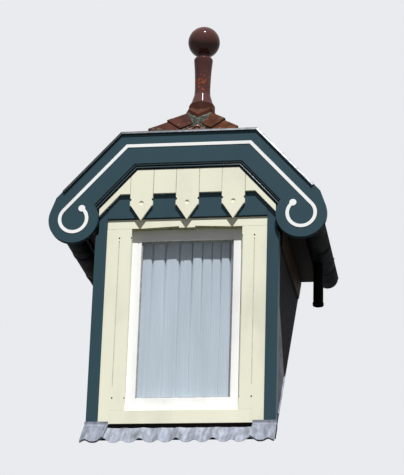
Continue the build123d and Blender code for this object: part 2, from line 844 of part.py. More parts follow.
os.makedirs("parts", exist_ok=True)
export("front_curb", front_curb())
export_pair("corner_post", corner_post())
export_pair("cheek", cheek())
export_pair("frieze_board", frieze_board())
export_pair("frame_jamb", frame_jamb())
export("frame_head", frame_head())
export("frame_sill", frame_sill())
export("sash_stiles", *sash_stiles())
export("sash_rails", *sash_rails())
export("glass_pane", glass_pane())
export("curtain", curtain())
export("curtain_rod", curtain_rod())
export("gable_panel", gable_panel())
export("pointed_valance_boards", *pointed_boards())
export("short_valance_boards", *short_boards())
export("bargeboard_top", bargeboard_top())
export_pair("bargeboard", bargeboard_side())
export("white_band", white_band())
export("bargeboard_moulding", bargeboard_moulding())
export("edge_capping", edge_capping())
export_pair("roof_deck", roof_deck())
export("roof_deck_front", front_layer(tile_thickness + deck_thickness, tile_thickness))
export_pair("roof_tiles", roof_tiles())
export("roof_tiles_front", roof_tiles_front())
export_pair("rafters", *rafters())
export("ridge_board", ridge_board())
export("ridge_tiles", ridge_cap())
export_pair("hip_tiles", hip_cap())
export("saddle_tile", saddle_tile())
export("finial_column", finial_column())
export("finial_ball", finial_ball())
export_pair("eave_boards", eave_boards())
export("eave_gutter_right", outlet_gutter())
export("eave_gutter_left", mirrored(eave_gutter()))
export("downpipe", downpipe())
export("lead_apron", lead_apron())
export_pair("cheek_lead", cheek_lead())
export_pair("valley_lead", valley_strip())
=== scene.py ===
import math
import random

import bmesh
import bpy
from mathutils import Matrix, Vector, noise


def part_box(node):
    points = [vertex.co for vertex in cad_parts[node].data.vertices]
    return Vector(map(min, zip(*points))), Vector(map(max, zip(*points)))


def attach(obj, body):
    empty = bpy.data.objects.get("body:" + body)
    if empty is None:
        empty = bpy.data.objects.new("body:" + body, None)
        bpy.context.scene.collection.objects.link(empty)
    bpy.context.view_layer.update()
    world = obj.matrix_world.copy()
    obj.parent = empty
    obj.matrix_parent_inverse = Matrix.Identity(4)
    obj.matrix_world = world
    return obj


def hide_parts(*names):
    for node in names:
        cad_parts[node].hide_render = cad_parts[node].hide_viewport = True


bl_info = {
    "name": "Roof dormer window",
    "version": (1, 0, 0),
    "blender": (4, 5, 0),
    "location": "View3D > Sidebar > Dormer",
    "description": "Dresses a boarded dormer window in paint, clay tiles, lead, glass and net",
    "category": "Object",
}

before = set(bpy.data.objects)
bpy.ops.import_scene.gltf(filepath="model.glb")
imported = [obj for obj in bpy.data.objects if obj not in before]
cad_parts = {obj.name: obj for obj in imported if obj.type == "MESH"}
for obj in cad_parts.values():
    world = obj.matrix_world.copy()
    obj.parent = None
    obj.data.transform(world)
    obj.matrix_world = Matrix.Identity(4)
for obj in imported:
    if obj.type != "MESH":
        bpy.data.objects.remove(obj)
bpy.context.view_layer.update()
ROOT = "root"
MM = 0.001


def linear(code):
    """Turns an sRGB hex colour into linear red, green, blue and alpha."""
    channels = [int(code[i:i + 2], 16) / 255 for i in (1, 3, 5)]
    return [c / 12.92 if c <= 0.04045 else ((c + 0.055) / 1.055) ** 2.4 for c in channels] + [1.0]


def box(node):
    """Lowest and highest corner of a CAD node, as vectors."""
    low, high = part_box(node)
    return Vector(low), Vector(high)


# The three slopes of the dormer roof and the plane that it stands on
SLOPE = math.radians(47.7)
HIP_PITCH = math.radians(43.5)
ROOF_PITCH = math.radians(47.0)
RIGHT_NORMAL = Vector((math.sin(SLOPE), 0, math.cos(SLOPE)))
LEFT_NORMAL = Vector((-math.sin(SLOPE), 0, math.cos(SLOPE)))
HIP_NORMAL = Vector((0, -math.sin(HIP_PITCH), math.cos(HIP_PITCH)))
SEAT_NORMAL = Vector((0, -math.sin(ROOF_PITCH), math.cos(ROOF_PITCH)))
RIGHT_TILES = box("roof_tiles_right")
BALL = box("finial_ball")
APEX = Vector((0, (BALL[0].y + BALL[1].y) / 2, RIGHT_TILES[1].z))
TILE_OFFSET = RIGHT_NORMAL.dot(APEX)
HIP_OFFSET = HIP_NORMAL.dot(APEX)
DECK_OFFSET = math.cos(SLOPE) * box("roof_deck_right")[1].z
TILE_FRONT = RIGHT_TILES[0].y
DRIP = RIGHT_TILES[1].x


def colour_setting(name, description, code):
    """Setting for the colour of a finish, whose default is an sRGB hex value."""
    return bpy.props.FloatVectorProperty(
        name=name, description=description, subtype="COLOR", size=4, min=0, max=1, default=linear(code))


def length_setting(name, description, default):
    """Setting for a length in metres."""
    return bpy.props.FloatProperty(name=name, description=description, default=default, unit="LENGTH")


class DormerFinishes(bpy.types.PropertyGroup):
    """Colours of the dormer's finishes."""
    teal: colour_setting("Teal paint", "Posts, bargeboard and gable boarding", "#2C454E")
    cream: colour_setting("Cream paint", "Window frame and valance", "#EEECD6")
    white: colour_setting("White paint", "Casement and scroll band", "#F7F7F5")
    tile: colour_setting("Tile clay", "Engobed tiles of the slopes", "#5C3A2C")
    cap: colour_setting("Cap clay", "Ridge, hip and saddle tiles", "#4C2817")
    glaze: colour_setting("Finial glaze", "Brown glaze of the finial", "#5A3A37")
    mortar: colour_setting("Mortar", "Weathered bedding under the caps", "#50534A")
    lead: colour_setting("Lead", "Weathered lead of the apron and valleys", "#888D9A")
    # The zinc colour is darkened nearly to black, as painted shade under the eaves.
    zinc: colour_setting("Zinc", "Zinc of the gutters and downpipe, darkened as painted shade", "#131415")
    # The capping colour is the lit tone of the right slope; darker copies of it paint the shade on the top
    # and the left slope.
    capping: colour_setting("Capping", "Bright strip over the bargeboard", "#B4B8BC")
    net: colour_setting("Net", "Gathered net curtain", "#CBD2E0")
    # The cheek colour is darkened as painted shade under the eaves.
    cheek: colour_setting("Cheek paint", "Dark grey side boards", "#29292B")
    stain: colour_setting("Brown stain", "Frieze and eave boards", "#362C23")
    timber: colour_setting("Sawn timber", "Rafters, decks and lining", "#A98C66")


class DormerDetails(bpy.types.PropertyGroup):
    """Sizes of the details that are added to the CAD model."""
    board_round: length_setting("Board arris", "Rounding of painted boards", 2.2 * MM)
    tile_cover: length_setting("Tile cover", "Width that each roof tile covers", 228 * MM)
    tile_gauge: length_setting("Tile gauge", "Length that each roof tile shows", 330 * MM)
    cap_exposure: length_setting("Cap exposure", "Length that each hip cap shows", 196 * MM)
    deck_board: length_setting("Deck board", "Width of one roof board", 140 * MM)
    cheek_board: length_setting("Cheek board", "Width of one side board", 155 * MM)
    net_pleats: bpy.props.IntProperty(
        name="Net pleats", description="Broad folds across the gathered net", default=10, min=4)
    net_fold: length_setting("Net crease", "Depth of the creases between folds", 44 * MM)
    net_flat_width: length_setting("Net width", "Width that the net was cut to", 0.84)
    bracket_spacing: length_setting("Gutter brackets", "Distance between gutter brackets", 0.42)


class DormerStage(bpy.types.PropertyGroup):
    """Camera and light of the picture."""
    focal_px: bpy.props.FloatProperty(
        name="Focal length", description="In pixels of a picture 475 high", default=1839.0, min=100.0)
    distance: length_setting("Distance", "From the camera to its target", 11.848)
    yaw: bpy.props.FloatProperty(
        name="Yaw", description="Camera to the right of centre", default=math.radians(9.28), subtype="ANGLE")
    pitch: bpy.props.FloatProperty(
        name="Pitch", description="Camera looks up by this", default=math.radians(20.86), subtype="ANGLE")
    roll: bpy.props.FloatProperty(
        name="Roll", description="Camera leans by this", default=math.radians(1.836), subtype="ANGLE")
    target: bpy.props.FloatVectorProperty(
        name="Target", description="Point in the middle of the picture", subtype="XYZ",
        default=(0.1022, -0.05, 1.2944))
    floor_depth: length_setting("Floor depth", "Floor below the seat", 4.4)
    sun: bpy.props.FloatVectorProperty(
        name="Sun", description="Direction towards the high front light", subtype="DIRECTION",
        default=(0.14, -0.54, 1.0))
    key_strength: bpy.props.FloatProperty(
        name="Key light", description="Strength of the high front light", default=5.1)
    sky_strength: bpy.props.FloatProperty(
        name="Fill light", description="Strength of the even light from all round", default=0.21)


MIX = {"data_type": "RGBA", "blend_type": "MIX"}
MULTIPLY = {"data_type": "RGBA", "blend_type": "MULTIPLY"}


def add_node(tree, kind, inputs=None, output=0, stops=(), **settings):
    """Adds a node and gives one output; inputs are values, or outputs to link from; stops fill a ramp."""
    node = tree.nodes.new(kind)
    for key, value in settings.items():
        setattr(node, key, value)
    for key, value in (inputs or {}).items():
        if isinstance(value, bpy.types.NodeSocket):
            tree.links.new(value, node.inputs[key])
        else:
            node.inputs[key].default_value = value
    if stops:
        elements = node.color_ramp.elements
        while len(elements) < len(stops):
            elements.new(0.5)
        for element, (position, colour) in zip(elements, stops):
            element.position = position
            element.color = colour
    return node.outputs[output] if node.outputs else None


def grey(value):
    """A grey step of a ramp that drives a number."""
    return (value, value, value, 1.0)


def shade(colour, factor):
    """A linear colour made darker or lighter."""
    return [min(1.0, c * factor) for c in colour[:3]] + [1.0]


def new_material(name):
    """Empty material; gives it, its tree and the object coordinates that its patterns read."""
    material = bpy.data.materials.new(name)
    material.use_nodes = True
    tree = material.node_tree
    tree.nodes.clear()
    return material, tree, add_node(tree, "ShaderNodeTexCoord", output="Object")


def finished(material, inputs, relief=None, shader="ShaderNodeBsdfPrincipled"):
    """Gives a material its surface, with a relief of (height, depth, strength), and hands it back."""
    tree = material.node_tree
    if relief:
        raised = dict(zip(("Height", "Distance", "Strength"), relief))
        inputs = {**inputs, "Normal": add_node(tree, "ShaderNodeBump", raised)}
    add_node(tree, "ShaderNodeOutputMaterial", {"Surface": add_node(tree, shader, inputs)})
    return material


def streaked(tree, place, grain, stretch=(1.0, 1.0, 1.0), detail=4.0, stops=()):
    """Noise with a grain of a real size, stretched along each axis; a number, or its stops' colours."""
    drawn = add_node(tree, "ShaderNodeMapping", {"Vector": place, "Scale": stretch})
    waves = {"Vector": drawn, "Scale": 1 / grain, "Detail": detail}
    noisy = add_node(tree, "ShaderNodeTexNoise", waves, "Fac")
    return add_node(tree, "ShaderNodeValToRGB", {"Fac": noisy}, stops=stops) if stops else noisy


def painted_timber(name, colour, roughness, grain_axis, gloss=0.15):
    """Old gloss paint brushed on softwood: faint grain and brush marks along the board, soiled in streaks."""
    material, tree, place = new_material(name)
    along = [0.04 if axis == grain_axis else 1.0 for axis in "XYZ"]
    stops = ((0.28, shade(colour, 0.86)), (0.5, colour), (0.78, shade(colour, 1.05)))
    soiled = streaked(tree, place, 200 * MM, (1.0, 1.0, 0.35), 8.0, stops)
    inputs = {"Base Color": soiled, "Roughness": roughness, "Specular IOR Level": gloss}
    return finished(material, inputs, (streaked(tree, place, 3.846 * MM, along), 0.4 * MM, 0.5))


def dirt_and_shade_paint(name, colour, dark, light):
    """Paint darkened in grooves, joints, holes and undersides: painted shade, with some dust and mildew, as
    noise between two darker tones of its own colour.
    """
    material, tree, place = new_material(name)
    dust_and_shade = streaked(tree, place, 25 * MM, stops=((0.35, shade(colour, dark)), (0.65, shade(colour, light))))
    return finished(material, {"Base Color": dust_and_shade, "Roughness": 0.9, "Specular IOR Level": 0.1})


def sawn_wood(name, colour, grain_axis, roughness=0.75):
    """Sawn softwood: grain rings drawn out along the board, darker late wood and saw marks."""
    material, tree, place = new_material(name)
    along = [0.05 if axis == grain_axis else 1.0 for axis in "XYZ"]
    stops = ((0.3, shade(colour, 0.62)), (0.46, colour), (0.62, shade(colour, 1.12)),
             (0.72, shade(colour, 0.78)))
    rings = streaked(tree, place, 26.32 * MM, along, 6.0, stops)
    age = streaked(tree, place, 333.3 * MM, detail=5.0, stops=((0.3, grey(0.78)), (0.7, grey(1.0))))
    aged = add_node(tree, "ShaderNodeMix", {0: 1.0, 6: rings, 7: age}, 2, **MULTIPLY)
    inputs = {"Base Color": aged, "Roughness": roughness, "Specular IOR Level": 0.01}
    return finished(material, inputs, (streaked(tree, place, 3.333 * MM, along, 3.0), 0.8 * MM, 0.7))


def engobed_tile(name, colour):
    """Pressed clay tile with a brown engobe: each tile its own tone, satin gloss, grime in the pans."""
    material, tree, place = new_material(name)
    tone = add_node(tree, "ShaderNodeAttribute", output="Fac", attribute_name="tone")
    stops = ((0.0, shade(colour, 0.72)), (0.45, colour), (1.0, linear("#74452A")))
    warm = add_node(tree, "ShaderNodeValToRGB", {"Fac": tone}, stops=stops)
    stops = ((0.3, grey(0.55)), (0.55, grey(1.0)), (0.8, grey(1.12)))
    grime = streaked(tree, place, 111.1 * MM, detail=8.0, stops=stops)
    soiled = add_node(tree, "ShaderNodeMix", {0: 1.0, 6: warm, 7: grime}, 2, **MULTIPLY)
    satin = streaked(tree, place, 111.1 * MM, detail=8.0, stops=((0.3, grey(0.5)), (0.7, grey(0.28))))
    inputs = {"Base Color": soiled, "Roughness": satin, "Coat Weight": 0.35, "Coat Roughness": 0.18}
    return finished(material, inputs, (streaked(tree, place, 8.333 * MM, detail=5.0), 0.6 * MM, 0.5))


def cap_clay(name, colour):
    """Unglazed red clay of the caps: fired blotches, dark soot and grey-green lichen in the hollows."""
    material, tree, place = new_material(name)
    tone = add_node(tree, "ShaderNodeAttribute", output="Fac", attribute_name="tone")
    stops = ((0.0, linear("#452117")), (0.5, colour), (1.0, linear("#60341B")))
    body = add_node(tree, "ShaderNodeValToRGB", {"Fac": tone}, stops=stops)
    stops = ((0.32, grey(0.5)), (0.55, grey(1.0)), (0.8, grey(1.2)))
    soot = streaked(tree, place, 71.43 * MM, detail=8.0, stops=stops)
    fired = add_node(tree, "ShaderNodeMix", {0: 1.0, 6: body, 7: soot}, 2, **MULTIPLY)
    lichen = streaked(tree, place, 38.46 * MM, detail=10.0, stops=((0.62, grey(0.0)), (0.70, grey(0.5))))
    grown = add_node(tree, "ShaderNodeMix", {0: lichen, 6: fired, 7: linear("#6C7265")}, 2, **MIX)
    inputs = {"Base Color": grown, "Roughness": 0.72, "Specular IOR Level": 0.12}
    return finished(material, inputs, (streaked(tree, place, 11.11 * MM, detail=6.0), 1.2 * MM, 0.7))


CHIP_HEIGHT = box("finial_column")[0].z + 0.17
CHIP_BAND = 0.10


def glazed_clay(name, colour):
    """Brown glazed stoneware: a deep wet gloss, broken by matt orange chips where the glaze has gone."""
    material, tree, place = new_material(name)
    stops = ((0.3, shade(colour, 0.7)), (0.6, colour), (0.85, shade(colour, 1.25)))
    pool = streaked(tree, place, 142.9 * MM, detail=5.0, stops=stops)
    height = add_node(tree, "ShaderNodeSeparateXYZ", {"Vector": place}, "Z")
    apart = add_node(tree, "ShaderNodeMath", {0: height, 1: CHIP_HEIGHT}, operation="SUBTRACT")
    near = add_node(tree, "ShaderNodeMath", {0: apart}, operation="ABSOLUTE")
    band = {"Value": near, "From Min": 0.0, "From Max": CHIP_BAND, "To Min": 0.17, "To Max": 0.0}
    spots = {0: streaked(tree, place, 16.13 * MM, detail=6.0), 1: add_node(tree, "ShaderNodeMapRange", band)}
    chipped = add_node(tree, "ShaderNodeMath", spots, operation="ADD")
    stops = ((0.70, grey(0.0)), (0.73, grey(1.0)))
    mask = add_node(tree, "ShaderNodeValToRGB", {"Fac": chipped}, stops=stops)
    bare = add_node(tree, "ShaderNodeMix", {0: mask, 6: pool, 7: linear("#A04E22")}, 2, **MIX)
    matt = add_node(tree, "ShaderNodeValToRGB", {"Fac": mask}, stops=((0.0, grey(0.16)), (1.0, grey(0.8))))
    inputs = {"Base Color": bare, "Roughness": matt, "IOR": 1.1, "Coat Weight": 0.25, "Coat Roughness": 0.1,
              "Coat IOR": 1.3}
    return finished(material, inputs, (streaked(tree, place, 45.45 * MM, detail=3.0), 0.5 * MM, 0.5))


def weathered_mortar(name, colour):
    """Cement bedding with moss and soot: coarse sand grain in grey, green and black patches."""
    material, tree, place = new_material(name)
    stops = ((0.38, shade(colour, 0.2)), (0.49, shade(colour, 0.7)), (0.6, linear("#656E63")),
             (0.7, shade(colour, 0.4)))
    inputs = {"Base Color": streaked(tree, place, 29.41 * MM, detail=9.0, stops=stops), "Roughness": 0.95}
    return finished(material, inputs, (streaked(tree, place, 5.556 * MM, detail=6.0), 2.5 * MM, 0.9))


def sheet_metal(name, colour, metallic, roughness, streak, gloss=0.5):
    """Rolled sheet gone dull outdoors: cloudy patina with paler run-off streaks down the slope."""
    material, tree, place = new_material(name)
    stops = ((0.3, shade(colour, 0.72)), (0.52, colour), (0.75, shade(colour, 1.22)))
    patina = streaked(tree, place, 111.1 * MM, detail=7.0, stops=stops)
    stops = ((0.36, grey(0.7)), (0.62, grey(1.25)))
    washed = streaked(tree, place, 21.74 * MM, (1.0, streak, streak), stops=stops)
    streaky = add_node(tree, "ShaderNodeMix", {0: 1.0, 6: patina, 7: washed}, 2, **MULTIPLY)
    stops = ((0.3, grey(roughness + 0.12)), (0.7, grey(roughness - 0.08)))
    dull = streaked(tree, place, 111.1 * MM, detail=7.0, stops=stops)
    inputs = {"Base Color": streaky, "Metallic": metallic, "Roughness": dull, "Specular IOR Level": gloss}
    return finished(material, inputs, (streaked(tree, place, 33.33 * MM), 1.5 * MM, 0.5))


def float_glass(name):
    """Clear float glass with a faint green-blue body and its own mirror gloss."""
    material, tree, _ = new_material(name)
    clear = add_node(tree, "ShaderNodeBsdfTransparent", {"Color": linear("#FBFDFC")})
    mirror = {"Base Color": linear("#F4F8FB"), "Roughness": 0.03, "Metallic": 1.0}
    gloss = add_node(tree, "ShaderNodeBsdfPrincipled", mirror)
    back = add_node(tree, "ShaderNodeNewGeometry", output="Backfacing")
    outside = add_node(tree, "ShaderNodeMath", {0: 1.0, 1: back}, operation="SUBTRACT")
    fresnel = add_node(tree, "ShaderNodeFresnel", {"IOR": 1.45})
    amount = add_node(tree, "ShaderNodeMath", {0: fresnel, 1: outside}, operation="MULTIPLY")
    return finished(material, {0: amount, 1: clear, 2: gloss}, shader="ShaderNodeMixShader")


def net_fabric(name, colour):
    """White polyester net: a square mesh, drawn coarser than life so that it shows, with a soft sheen."""
    material, tree, place = new_material(name)
    flat = add_node(tree, "ShaderNodeMapping", {"Vector": place, "Scale": (1.0, 0.0, 1.0)})
    mesh = {"Vector": flat, "Scale": 1 / (2.5 * MM), "Mortar Size": 0.12, "Brick Width": 1.0,
            "Row Height": 1.0}
    threads = add_node(tree, "ShaderNodeTexBrick", mesh, "Fac", offset=0.0)
    stops = ((0.3, shade(colour, 0.9)), (0.6, colour), (0.8, shade(colour, 1.06)))
    cloth = streaked(tree, place, 83.33 * MM, (1.0, 1.0, 0.12), 5.0, stops)
    inputs = {"Base Color": cloth, "Roughness": 0.85, "Sheen Weight": 0.25, "Sheen Roughness": 0.5,
              "Alpha": 0.97}
    return finished(material, inputs, (threads, 0.4 * MM, 0.35))


def new_piece(name, bm, material, slot, *nodes, others=(), smooth=38.0, flats=True):
    """Makes a bmesh a piece that rides with the dormer and stands for CAD nodes; its slot is not used."""
    mesh = bpy.data.meshes.new(name)
    bm.to_mesh(mesh)
    bm.free()
    mesh.shade_smooth()
    mesh.set_sharp_from_angle(angle=math.radians(smooth))
    for finish in (material, *others):
        mesh.materials.append(finish)
    piece = bpy.data.objects.new(name, mesh)
    bpy.context.scene.collection.objects.link(piece)
    if flats:
        piece.modifiers.new("flat_faces", "WEIGHTED_NORMAL").keep_sharp = True
    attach(piece, ROOT)
    if nodes:
        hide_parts(*nodes)
    return piece


def node_copy(node):
    """Merged copy of a CAD node, with the triangles of each flat side joined."""
    bm = bmesh.new()
    bm.from_mesh(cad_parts[node].data)
    bmesh.ops.remove_doubles(bm, verts=bm.verts, dist=0.02 * MM)
    bmesh.ops.dissolve_limit(bm, angle_limit=math.radians(0.3), verts=bm.verts, edges=bm.edges)
    return bm


def soften(bm, width, segments=2, angle=30.0, keep=None):
    """Rounds each edge that is sharper than an angle, but for those that are to be kept."""
    limit = math.radians(angle)
    sharp = [edge for edge in bm.edges if len(edge.link_faces) == 2 and edge.calc_face_angle() > limit
             and not (keep and keep(edge))]
    bmesh.ops.bevel(bm, geom=sharp, offset=width, offset_type="OFFSET", segments=segments,
                    profile=0.5, affect="EDGES", material=-1, clamp_overlap=True)


def dressed_node(name, node, material, slot, width, segments=2, **look):
    """Softened copy of a CAD node, as the piece that stands for it."""
    bm = node_copy(node)
    soften(bm, width, segments)
    return new_piece(name, bm, material, slot, node, **look)


def thicken(bm, shift):
    """Makes a sheet a closed solid whose other side lies a shift away."""
    made = bmesh.ops.extrude_face_region(bm, geom=bm.faces[:])
    moved = [item for item in made["geom"] if isinstance(item, bmesh.types.BMVert)]
    bmesh.ops.translate(bm, verts=moved, vec=shift)
    bmesh.ops.recalc_face_normals(bm, faces=bm.faces)


def cut(bm, normal, offset):
    """Removes what lies beyond the plane normal . p = offset, and closes the cut."""
    length = normal.length
    unit = normal / length
    bmesh.ops.bisect_plane(bm, geom=bm.verts[:] + bm.edges[:] + bm.faces[:], dist=0.01 * MM,
                           plane_co=unit * (offset / length), plane_no=unit, clear_outer=True)
    open_edges = [edge for edge in bm.edges if edge.is_boundary]
    if open_edges:
        bmesh.ops.holes_fill(bm, edges=open_edges, sides=0)


def trim(bm, planes):
    """Cuts a closed shape by each (normal, offset) plane that it crosses; False if nothing is left."""
    for normal, offset in planes:
        places = [normal.dot(vert.co) - offset for vert in bm.verts]
        if not places or min(places) >= -0.1 * MM:
            return False
        if max(places) > 0.1 * MM:
            cut(bm, normal, offset)
    return bool(bm.faces)


def add_part(bm, part, tone=None):
    """Moves a part into a bmesh, with one tone on all its faces."""
    if tone is not None:
        layer = part.faces.layers.float.get("tone") or part.faces.layers.float.new("tone")
        for face in part.faces:
            face[layer] = tone
    mesh = bpy.data.meshes.new("part")
    part.to_mesh(mesh)
    part.free()
    bm.from_mesh(mesh)
    bpy.data.meshes.remove(mesh)


def split_boards(node, direction, width, gap, arris):
    """A CAD block cut into softened boards across a direction."""
    whole = node_copy(node)
    direction = Vector(direction).normalized()
    places = [direction.dot(vert.co) for vert in whole.verts]
    low, high = min(places), max(places)
    boards = bmesh.new()
    for index in range(math.ceil((high - low) / width)):
        board = whole.copy()
        at = low + index * width
        if trim(board, [(-direction, -(at + gap / 2)), (direction, at + width - gap / 2)]):
            soften(board, arris)
            add_part(boards, board)
        else:
            board.free()
    whole.free()
    return boards


def roughen(bm, cell, depth, cuts, longest):
    """Divides long edges and moves the points by noise, as hand-laid mortar or clay."""
    for _ in range(cuts):
        edges = [edge for edge in bm.edges if edge.calc_length() > longest]
        if edges:
            bmesh.ops.subdivide_edges(bm, edges=edges, cuts=1, use_grid_fill=True)
    for vert in bm.verts:
        vert.co += noise.noise_vector(vert.co / cell) * depth


def sides(name):
    """Names of a node on both sides."""
    return [f"{name}_{side}" for side in ("right", "left")]


# Front, casement and curtain

class DORMER_OT_front(bpy.types.Operator):
    """Paints the posts, the window frame and the gable boarding"""
    bl_idname = "dormer.front"
    bl_label = "Painted front"

    def execute(self, context):
        finishes, details = context.scene.dormer_finishes, context.scene.dormer_details
        teal = painted_timber("teal_gloss_paint_on_softwood", finishes.teal, 0.5, "Z")
        cream_up = painted_timber("cream_gloss_paint_upright", finishes.cream, 0.5, "Z")
        cream_across = painted_timber("cream_gloss_paint_level", finishes.cream, 0.5, "X")
        # The curb is near black as painted shade: it stands for the dark gap under the sill.
        curb = sawn_wood("softwood_curb_blackened_as_shade", linear("#0E0C0C"), "X")
        jobs = [(node, teal, "teal_paint") for node in sides("corner_post") + ["gable_panel"]]
        jobs += [(node, cream_up, "cream_paint") for node in sides("frame_jamb")]
        jobs += [(node, cream_across, "cream_paint") for node in ("frame_head", "frame_sill")]
        jobs += [("front_curb", curb, "sawn_timber")]
        # The jamb's groove is darker as dirt and painted shade, the drilled holes are nearly black as painted
        # shade, and the head's underside is olive as painted shade with some dirt.
        recesses = (dirt_and_shade_paint("cream_paint_dirt_and_shade_in_groove", finishes.cream, 0.62, 0.8),
                    dirt_and_shade_paint("painted_shade_in_drilled_hole", finishes.cream, 0.02, 0.05),
                    dirt_and_shade_paint("cream_paint_dirt_and_shade_on_soffit", linear("#A39F78"), 0.7, 1.0))
        for node, material, slot in jobs:
            bm = node_copy(node)
            soften(bm, details.board_round)
            mark_recesses(bm, node)
            others = recesses if slot == "cream_paint" else ()
            new_piece(f"{node}_board", bm, material, slot, node, others=others)
        return {"FINISHED"}


GROOVE_INSET = 82 * MM
IN_GROOVE, IN_HOLE, ON_SOFFIT = 1, 2, 3


def mark_recesses(bm, node):
    """Gives darker finishes to a jamb's groove and drilled holes and to the underside of the head: painted
    shade, with some dirt.
    """
    low, high = box(node)
    bm.normal_update()
    if node == "frame_head":
        for face in bm.faces:
            if face.normal.z < -0.9:
                face.material_index = ON_SOFFIT
    if not node.startswith("frame_jamb"):
        return
    inner, outer = min(abs(low.x), abs(high.x)), max(abs(low.x), abs(high.x))
    for face in bm.faces:
        place = face.calc_center_median()
        sunk = place.y - low.y
        across = inner + 0.4 * MM < abs(place.x) < outer - 4 * MM
        if across and low.z + 4 * MM < place.z < high.z - 4 * MM and 0.3 * MM < sunk < 12.8 * MM:
            if face.calc_area() < 120 * MM * MM:
                face.material_index = IN_HOLE
            elif abs(outer - GROOVE_INSET - abs(place.x)) < 4 * MM:
                face.material_index = IN_GROOVE


def putty_bead(half, low, high, front, width, depth):
    """Glazing bead: a bevelled ring round the glass, from an inset and lowered plane."""
    bm = bmesh.new()
    bmesh.ops.create_grid(bm, x_segments=1, y_segments=1, size=1.0)
    middle = (low + high) / 2
    bmesh.ops.scale(bm, verts=bm.verts, vec=(half, (high - low) / 2, 1))
    face = bm.faces[:][0]
    bmesh.ops.inset_region(bm, faces=[face], use_boundary=True, use_even_offset=True, thickness=width)
    bmesh.ops.delete(bm, geom=[face], context="FACES_ONLY")
    inner = [vert for vert in bm.verts
             if abs(vert.co.x) < half - width / 2 and abs(vert.co.y) < (high - low) / 2 - width / 2]
    thicken(bm, (0, 0, -depth))
    bmesh.ops.translate(bm, verts=inner, vec=(0, 0, -depth * 0.7))
    bm.transform(Matrix.Translation((0, front, middle)) @ Matrix.Rotation(math.radians(90), 4, "X"))
    return bm


class DORMER_OT_casement(bpy.types.Operator):
    """Paints the casement, and sets its glass in a bevelled bead"""
    bl_idname = "dormer.casement"
    bl_label = "Casement"

    def execute(self, context):
        finishes, details = context.scene.dormer_finishes, context.scene.dormer_details
        upright = painted_timber("white_gloss_paint_upright", finishes.white, 0.45, "Z")
        level = painted_timber("white_gloss_paint_level", finishes.white, 0.45, "X")
        for node, material in (("sash_stiles", upright), ("sash_rails", level)):
            dressed_node(f"{node}_painted", node, material, "white_paint", details.board_round)
        low, high = box("glass_pane")
        bead_width, bead_depth = 9 * MM, 10 * MM
        bead = putty_bead(high.x, low.z, high.z, low.y - bead_depth, bead_width, bead_depth)
        soften(bead, 0.8 * MM)
        # The bead round the glass is painted dark, as the line of shade round the pane.
        putty = dirt_and_shade_paint("glazing_putty_painted_shade", finishes.white, 0.25, 0.4)
        new_piece("glazing_bead", bead, putty, "white_paint")
        glass = float_glass("clear_float_glass")
        dressed_node("glass_sheet", "glass_pane", glass, "window_glass", 0.5 * MM, 1)
        return {"FINISHED"}


NET_FRONT = 9 * MM
NET_HEADING = 14 * MM
NET_THICKNESS = 0.5 * MM
NET_ACROSS, NET_UP = 680, 56
FOLD_STAND = 9.0
GATHER_DEPTH = 1.1 * MM


def net_offset(u, v, details):
    """How far a point of the net stands behind its front; u runs across and v up, from 0 to 1."""
    # Folds differ in width, and those at the left edge lean out towards the hem.
    drift = 0.32 * math.sin(7.3 * u + 0.6) + 0.12 * noise.noise(Vector((u * 4.0, v * 1.5, 3.1)))
    place = details.net_pleats * u + drift + 0.9 * (1 - v) * math.exp(-u / 0.09)
    number = math.floor(place)
    chance = random.Random(number + 31)
    stand, depth = chance.uniform(0.0, FOLD_STAND) * MM, details.net_fold * chance.uniform(0.6, 1.0)
    # Creases are sharp, deep at the top and slack below the middle; fine gathers lie under the rod.
    edge = abs(2 * (place - number) - 1)
    hold = 0.2 + 0.8 * max(0.0, (v - 0.35) / 0.65) ** 1.5
    tight = 0.25 + 0.75 * max(0.0, (v - 0.86) / 0.14)
    gathers = math.sin(37.0 * place + 2.0 * math.sin(5.0 * place)) * tight
    return stand * (1 - edge ** 6) + depth * hold * edge ** 9 + GATHER_DEPTH * gathers


class DORMER_OT_curtain(bpy.types.Operator):
    """Hangs the gathered net from its rod"""
    bl_idname = "dormer.curtain"
    bl_label = "Net curtain"

    def execute(self, context):
        finishes, details = context.scene.dormer_finishes, context.scene.dormer_details
        low, high = box("curtain")
        rod_low, rod_high = box("curtain_rod")
        rod_z, rod_radius = (rod_low.z + rod_high.z) / 2, (rod_high.z - rod_low.z) / 2
        front = low.y + NET_FRONT
        behind = (rod_low.y + rod_high.y) / 2 - rod_radius - 1.5 * MM - front
        top = rod_z + rod_radius + NET_HEADING
        bm = bmesh.new()
        bmesh.ops.create_grid(bm, x_segments=NET_ACROSS, y_segments=NET_UP, size=0.5)
        for vert in bm.verts:
            u, v = vert.co.x + 0.5, vert.co.y + 0.5
            z = low.z + (top - low.z) * v
            pocket = math.exp(-((z - rod_z) / (1.6 * rod_radius)) ** 2)
            sway = 3 * MM * noise.noise(Vector((u * 6.0, v * 2.0, 0.7))) * (1 - v)
            y = front + net_offset(u, v, details) * (1 - 0.9 * pocket) + pocket * min(0.0, behind)
            hem = 5 * MM * math.sin(2 * math.pi * 8.5 * u) * (1 - v) ** 6
            vert.co = (low.x + (high.x - low.x) * u + sway, y, z + hem)
        bmesh.ops.reverse_faces(bm, faces=bm.faces[:])
        fabric = net_fabric("white_polyester_net", finishes.net)
        net = new_piece("net_curtain", bm, fabric, "net_fabric", "curtain", smooth=180.0, flats=False)
        net.modifiers.new("cloth_thickness", "SOLIDIFY").thickness = NET_THICKNESS
        lacquer = painted_timber("white_lacquered_rod", finishes.white, 0.3, "X")
        dressed_node("curtain_rod_lacquered", "curtain_rod", lacquer, "rod_finish", 1.5 * MM)
        return {"FINISHED"}


# Bargeboard and valance

DISC_RADIUS = 165 * MM
BOARD_OUTSET = 26 * MM
MOULDING_GROOVE = 2 * MM
MOULDING_FOOT = 0.14
MOULDING_BASE = 38 * MM
CAPPING_FOOT = 0.09
CAPPING_SKIRT = 34 * MM
CAPPING_SHEET = 1.5 * MM


